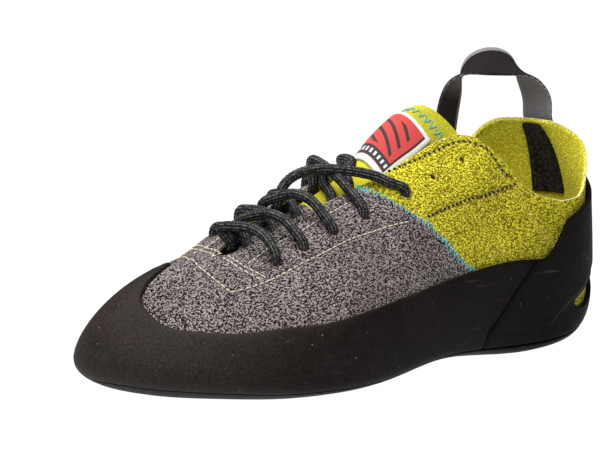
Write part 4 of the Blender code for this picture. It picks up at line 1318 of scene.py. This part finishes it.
def build_label():
    """Woven label on the tongue, under the top of the throat."""
    ways = shares(40, (0.2, 0.6), (0.2, 0.6), LABEL_LONG) - 0.5
    across = shares(30, (0.2, 0.6), (0.2, 0.6), LABEL_EDGES) - 0.5
    along = LABEL_ALONG + ways[:, None] * LABEL_LONG / LENGTH + 0 * across[None, :]
    share = LABEL_ACROSS + across[None, :] * LABEL_WIDE + 0 * along
    ends = (0.5 - np.abs(ways[:, None])) * LABEL_LONG
    edge = np.minimum(ends, (0.5 - np.abs(across[None, :])) * LABEL_EDGES)
    drop = rounding(edge, 0.3)
    low = tongue_surface(along, share, GAP)
    high = tongue_surface(along, share, 3 * GAP + LABEL_THICK - 0.25 - drop)
    cloth = np.stack([ways[:, None] * LABEL_LONG + 0 * share, across[None, :] * LABEL_PATTERN + 0 * share,
                      0 * share], -1)
    item = shell("tongue_label_woven", high, low, [LOOKS["label"]])
    layer = item.data.attributes.new("cloth", "FLOAT_VECTOR", "POINT")
    cloth = np.concatenate([cloth.reshape(-1, 3)] * 2)
    points = to_frame(np.concatenate([high.reshape(-1, 3), low.reshape(-1, 3)]))
    layer.data.foreach_set("vector", nearest_values(item, points, cloth).ravel())
    return place(item, "tongue_label", "label")


def nearest_values(item, points, values):
    """Values of the nearest of given points, for each vertex of a mesh."""
    tree = KDTree(len(points))
    for i, p in enumerate(points):
        tree.insert(p, i)
    tree.balance()
    return np.array([values[tree.find(v.co)[1]] for v in item.data.vertices], np.float32)


def build_pull_loop():
    free = np.array([(x * BALL_WIDTH, y * LENGTH, z * HEEL_HEIGHT) for x, y, z, _ in LOOP])
    lift = GAP + 0.5 * WEBBING_THICK
    back_up = up_at(np.zeros(3), np.array(LOOP_BACK) * HEEL_HEIGHT)
    inner_u = np.full(3, side_at(LOOP_INSIDE_ALONG * LENGTH, 1))
    inner_up = up_at(inner_u, np.array(LOOP_INSIDE) * HEEL_HEIGHT)
    rows = np.concatenate([skin(0.0, back_up, lift + LOOP_ROOM_OUTSIDE), free,
                           skin(inner_u, inner_up, -WALL - lift - LOOP_ROOM_INSIDE)])
    turns = np.array([(1.0, 0.0, 0.0)] * 3 + [way for _, _, _, way in LOOP] + [(0.0, -1.0, 0.0)] * 3)
    knots = np.concatenate([[0.0], np.cumsum(np.linalg.norm(np.diff(rows, axis=0), axis=1))])
    at = np.linspace(0.0, knots[-1], 260)
    middle = np.stack([bend(knots, rows[:, i], at) for i in range(3)], 1)
    wide = np.stack([bend(knots, turns[:, i], at) for i in range(3)], 1)
    ahead = np.gradient(middle, axis=0)
    ahead /= np.linalg.norm(ahead, axis=1)[:, None]
    wide = wide - ahead * np.sum(wide * ahead, axis=1)[:, None]
    wide /= np.linalg.norm(wide, axis=1)[:, None]
    face = np.cross(wide, ahead)
    across = (shares(24, (0.12, 0.35, 0.7), (0.12, 0.35, 0.7), WEBBING) - 0.5) * WEBBING
    drop = rounding(0.5 * WEBBING - np.abs(across), 0.55)
    thick = (0.5 * WEBBING_THICK - drop)[None, :, None] * face[:, None]
    strip = middle[:, None] + wide[:, None] * across[None, :, None]
    outer, inner = strip + thick, strip - thick
    along = at[:, None] + 0 * across
    over = across[None, :] + 0 * along
    cloth = [np.stack([along, over, 0 * along + sign], -1) for sign in (1.0, -1.0)]
    item = shell("pull_loop_webbing", outer, inner, [LOOKS["webbing"]])
    points = to_frame(np.concatenate([outer.reshape(-1, 3), inner.reshape(-1, 3)]))
    values = np.concatenate([c.reshape(-1, 3) for c in cloth])
    layer = item.data.attributes.new("cloth", "FLOAT_VECTOR", "POINT")
    layer.data.foreach_set("vector", nearest_values(item, points, values).ravel())
    return place(item, "pull_loop", "webbing")


def build_patch():
    """Suede patch over the loop's stitching, inside the heel."""
    u = (shares(26, (0.2, 0.6), (0.2, 0.6), PATCH_WIDTH) - 0.5) * PATCH_WIDTH * PATCH_SPREAD
    ways = shares(40, (0.2, 0.6), (0.2, 0.6), PATCH_TALL)[:, None]
    low, high = up_at(u, PATCH_FOOT * HEEL_HEIGHT), slide(u, rim(u), -1.0)
    ups = low + (high - low) * ways
    around = np.broadcast_to(u, ups.shape)
    sides = (0.5 * PATCH_WIDTH * PATCH_SPREAD - np.abs(u))[None, :]
    edge = np.minimum(np.minimum(ways, 1 - ways) * PATCH_TALL, sides)
    drop = rounding(edge, 0.4)
    item = shell("loop_patch_suede", skin(around, ups, -WALL - 0.2),
                 skin(around, ups, -WALL - 3 * GAP - PATCH_THICK + drop), [LOOKS["patch"]])
    return place(item, "loop_patch", "patch")


# Lace
LACE_BENEATH = -WALL - 0.5 * LACE - 0.1
# Runs to the outer eyelets: points across, along and up in mm, from the inner edge
LACE_OUTER = [
    [(12.7, 200.6, 61.0), (7.5, 201.3, 62.7), (1.8, 201.5, 63.0),
     (-7.8, 201.7, 62.1), (-14.2, 201.9, 58.0)],
    [(10.1, 193.4, 62.6), (3.7, 192.4, 66.2), (-3.6, 191.2, 67.6),
     (-11.8, 189.8, 65.2), (-16.8, 189.0, 60.5)],
    [(9.5, 180.0, 68.5), (3.5, 178.4, 72.4), (-5.0, 176.1, 74.1),
     (-12.2, 174.2, 71.3), (-17.3, 172.9, 65.7)],
    [(7.7, 151.3, 84.6), (3.9, 151.4, 83.7), (-2.7, 151.7, 80.6),
     (-8.8, 152.0, 76.7), (-14.9, 152.3, 71.9)],
    [(6.8, 170.5, 75.5), (3.9, 166.0, 80.1), (-1.9, 156.9, 82.2),
     (-8.1, 147.0, 81.0), (-14.4, 136.8, 78.0), (-18.4, 131.0, 74.9)],
]
# Height in mm of the middle of the runs from the inner eyelets
LACE_ARCH = (2.6, 2.2, 2.4, 2.0, 1.0)
# Where the runs pass the throat's far edge, as shares of LENGTH: to the outer eyelets, from the inner ones
LACE_OVER = (0.731, 0.718, 0.668, 0.560, 0.650)
LACE_BACK = (0.731, 0.686, 0.643, 0.574, 0.540)


def lace_run(index, side):
    """Stops of one run: from under the far edge of the throat, over it, into an eyelet."""
    row = EYELETS[index]
    up = row[2]
    start = (row[0] if side < 0 else row[1]) * LENGTH
    far = (LACE_OVER if side < 0 else LACE_BACK)[index] * LENGTH
    edge = float(rim(side_at(far, -side)))
    clear = 0.5 * LACE + 0.2
    begin = [
        (far + 1.5, -side, edge - 0.07, LACE_BENEATH),
        (far + 0.8, -side, min(edge + 0.01, 0.95), LACE_BENEATH + 1.0),
    ]
    middle = [
        (far + 0.05 * (start - far), -side, min(edge + 0.06, 0.98), -0.6),
        (0.75 * far + 0.25 * start, -side, 0.992, 0.6 * LACE_ARCH[index]),
        (0.45 * far + 0.55 * start, side, 0.96, LACE_ARCH[index]),
        (start + 0.20 * (far - start), side, up + 0.11, clear + 0.3),
    ]
    end = [
        (start, side, up + 0.024, clear - 0.3),
        (start, side, up + 0.003, 0.0),
        (start, side, up - 0.002, LACE_BENEATH + 1.2),
    ]

    def at(stops):
        return [skin(float(side_at(y, s)), share, out) for y, s, share, out in stops]

    if side < 0:
        return at(begin) + [np.array(point) for point in LACE_OUTER[index]] + at(end[1:])
    return at(begin + middle + end)


def lace_under(index, side):
    """Stop beneath the eyestay, between an eyelet and where the next run comes out."""
    row = EYELETS[index]
    start = (row[0] if side < 0 else row[1]) * LENGTH
    far = (LACE_BACK if side < 0 else LACE_OVER)[index + 1] * LENGTH
    y = start - 0.3 * (start - far)
    return [skin(float(side_at(y, side)), row[2] + 0.07, LACE_BENEATH)]


def build_lace():
    pieces, total = [], 0.0
    for first in (-1, 1):
        path, side = [], first
        for index in range(LACED_PAIRS):
            path += lace_run(index, side)
            if index < LACED_PAIRS - 1:
                path += lace_under(index, side)
            side = -side
        name = "lace_lateral" if first < 0 else "lace_medial"
        item, length = cord(name, path, 0.5 * LACE, LOOKS["lace"])
        pieces.append(item)
        total += length
    nodes = ["lace_cross_%d" % n for n in range(1, LACED_PAIRS + 1)]
    place(pieces[0], nodes, "lace")
    place(pieces[1], nodes, "lace")
    return total


# Stitches
def along_line(line, pitch, offset=0.0):
    """Places every pitch mm along a surface line, as shares round and up."""
    u, up = line
    points = skin(u, up)
    knots = np.concatenate([[0.0], np.cumsum(np.linalg.norm(np.diff(points, axis=0), axis=1))])
    at = np.arange(offset, knots[-1], pitch)
    return np.interp(at, knots, u), np.interp(at, knots, up)


def on_suede(u, up, out):
    """Point over the suede with its relief."""
    base = skin(u, up)
    return skin(u, up, relief(base, u, up)) + outward(u, up) * out


def stitch_runs(line, pitch, length, lift):
    """Starts, ends and outward ways of stitches along a line."""
    u, up = along_line(line, pitch)
    u2, up2 = along_line(line, pitch, length)
    count = min(len(u), len(u2))
    u, up, u2, up2 = u[:count], up[:count], u2[:count], up2[:count]
    start, end, normal = on_suede(u, up, lift), on_suede(u2, up2, lift), outward(u, up)
    return list(zip(start, end, normal))


def zigzag_runs(line, pitch, half, lift):
    """Legs of a zigzag over a seam, as thread runs, not quite even and dense at the top."""
    u, up = along_line(line, pitch)
    extra_u, extra_up = along_line((line[0][-16:], line[1][-16:]), 0.4 * pitch)
    u, up = np.concatenate([u, extra_u[::-1]]), np.concatenate([up, extra_up[::-1]])
    count = len(u)
    uneven = np.random.default_rng(7).uniform(0.72, 1.18, count)
    sign = np.where(np.arange(count) % 2 == 0, 1.0, -1.0) * uneven
    place_on = on_suede(u, up, lift)
    ahead = np.gradient(skin(*line), axis=0).mean(0)
    ahead = np.broadcast_to(ahead / np.linalg.norm(ahead), place_on.shape)
    normal = outward(u, up)
    across = np.cross(normal, ahead)
    points = place_on + across * (sign * half)[:, None]
    return [(points[i], points[i + 1], normal[i]) for i in range(count - 1)]


def build_stitches():
    cream, black = [], []
    for side in ("lateral", "medial"):
        cream += stitch_runs(LINES["eyestay_" + side], *EYESTAY_STITCH)
        cream += stitch_runs(LINES["throat_" + side], *THROAT_STITCH)
        black += stitch_runs(LINES["pinholes_" + side], *PINHOLE)
        black += stitch_runs(LINES["edge_pinholes_" + side], *EDGE_PINHOLE)
    cream += stitch_runs(LINES["toe"], *EYESTAY_STITCH)
    for name in VAMP_ROWS:
        cream += stitch_runs(LINES[name], *VAMP_STITCH)
        cream += stitch_runs(LINES[name + "_back"], *VAMP_STITCH)
    place(threads("stitches_cream", cream, CREAM_RADIUS, LOOKS["cream"]), None, "suede")
    place(threads("stitches_black", black, PINHOLE_RADIUS, LOOKS["black"]), None, "suede")
    sky = []
    for side in (-1, 1):
        sky += zigzag_runs(SEAMS[side], *ZIGZAG)
    place(threads("zigzag_seam", sky, ZIGZAG_RADIUS, LOOKS["sky"]), None, "suede")


def build_tongue_zigzag():
    rows = np.array(TONGUE_ROWS)
    along = rows[-1, 0] + 6.5 / LENGTH
    share = np.concatenate([np.linspace(-0.66, 0.10, 16), np.linspace(0.13, 0.62, 22)])
    sign = np.where(np.arange(len(share)) % 2 == 0, 1.0, -1.0)
    points = tongue_surface(along + sign * 1.9 / LENGTH, share, 0.25)
    over = tongue_surface(along + 0 * share, share, 1.25) - tongue_surface(along + 0 * share, share, 0.25)
    runs = [(points[i], points[i + 1], over[i]) for i in range(len(share) - 1)]
    place(threads("zigzag_tongue", runs, ZIGZAG_RADIUS, LOOKS["sky"]), None, "tongue")


# Stage
def build_stage():
    """White floor and evenly white surroundings."""
    mesh = bpy.data.meshes.new("floor")
    corners = [(x * FLOOR_HALF, y * FLOOR_HALF, 0) for x, y in ((-1, -1), (1, -1), (1, 1), (-1, 1))]
    mesh.from_pydata(corners, [], [(0, 1, 2, 3)])
    floor = bpy.data.objects.new("floor", mesh)
    mesh.materials.append(floor_look())
    bpy.context.scene.collection.objects.link(floor)
    world = bpy.data.worlds.new("studio")
    world.use_nodes = True
    sky = world.node_tree.nodes["Background"]
    sky.inputs["Color"].default_value = (1.0, 1.0, 1.0, 1.0)
    sky.inputs["Strength"].default_value = WORLD_GLOW
    bpy.context.scene.world = world
    bpy.context.scene.view_settings.view_transform = "Standard"


def build_lights():
    for name, place_at, size, power in LAMPS:
        data = bpy.data.lights.new(name, "AREA")
        data.shape, data.size, data.energy = "SQUARE", size, power
        item = bpy.data.objects.new(name, data)
        item.location = place_at
        item.rotation_mode = "QUATERNION"
        item.rotation_quaternion = (Vector(LAMPS_AIM) - Vector(place_at)).to_track_quat("-Z", "Y")
        bpy.context.scene.collection.objects.link(item)


def build_camera():
    azimuth, elevation = math.radians(CAMERA["azimuth"]), math.radians(CAMERA["elevation"])
    back = Vector((math.sin(azimuth) * math.cos(elevation), -math.cos(azimuth) * math.cos(elevation),
                   math.sin(elevation)))
    data = bpy.data.cameras.new("camera")
    data.lens, data.sensor_width = CAMERA["lens"], CAMERA["sensor"]
    item = bpy.data.objects.new("camera", data)
    item.location = Vector(CAMERA_TARGET) + back * CAMERA["distance"]
    item.rotation_mode = "QUATERNION"
    item.rotation_quaternion = (-back).to_track_quat("-Z", "Y")
    bpy.context.scene.collection.objects.link(item)
    bpy.context.scene.camera = item


build_camera()
build_stage()
build_lights()
build_upper()
build_outsole()
build_insole()
build_rand_front()
build_rand_heel()
build_tongue()
build_label()
build_pull_loop()
build_patch()
LACE_LENGTH = build_lace()
build_stitches()
build_tongue_zigzag()
print("lace length mm", round(LACE_LENGTH))
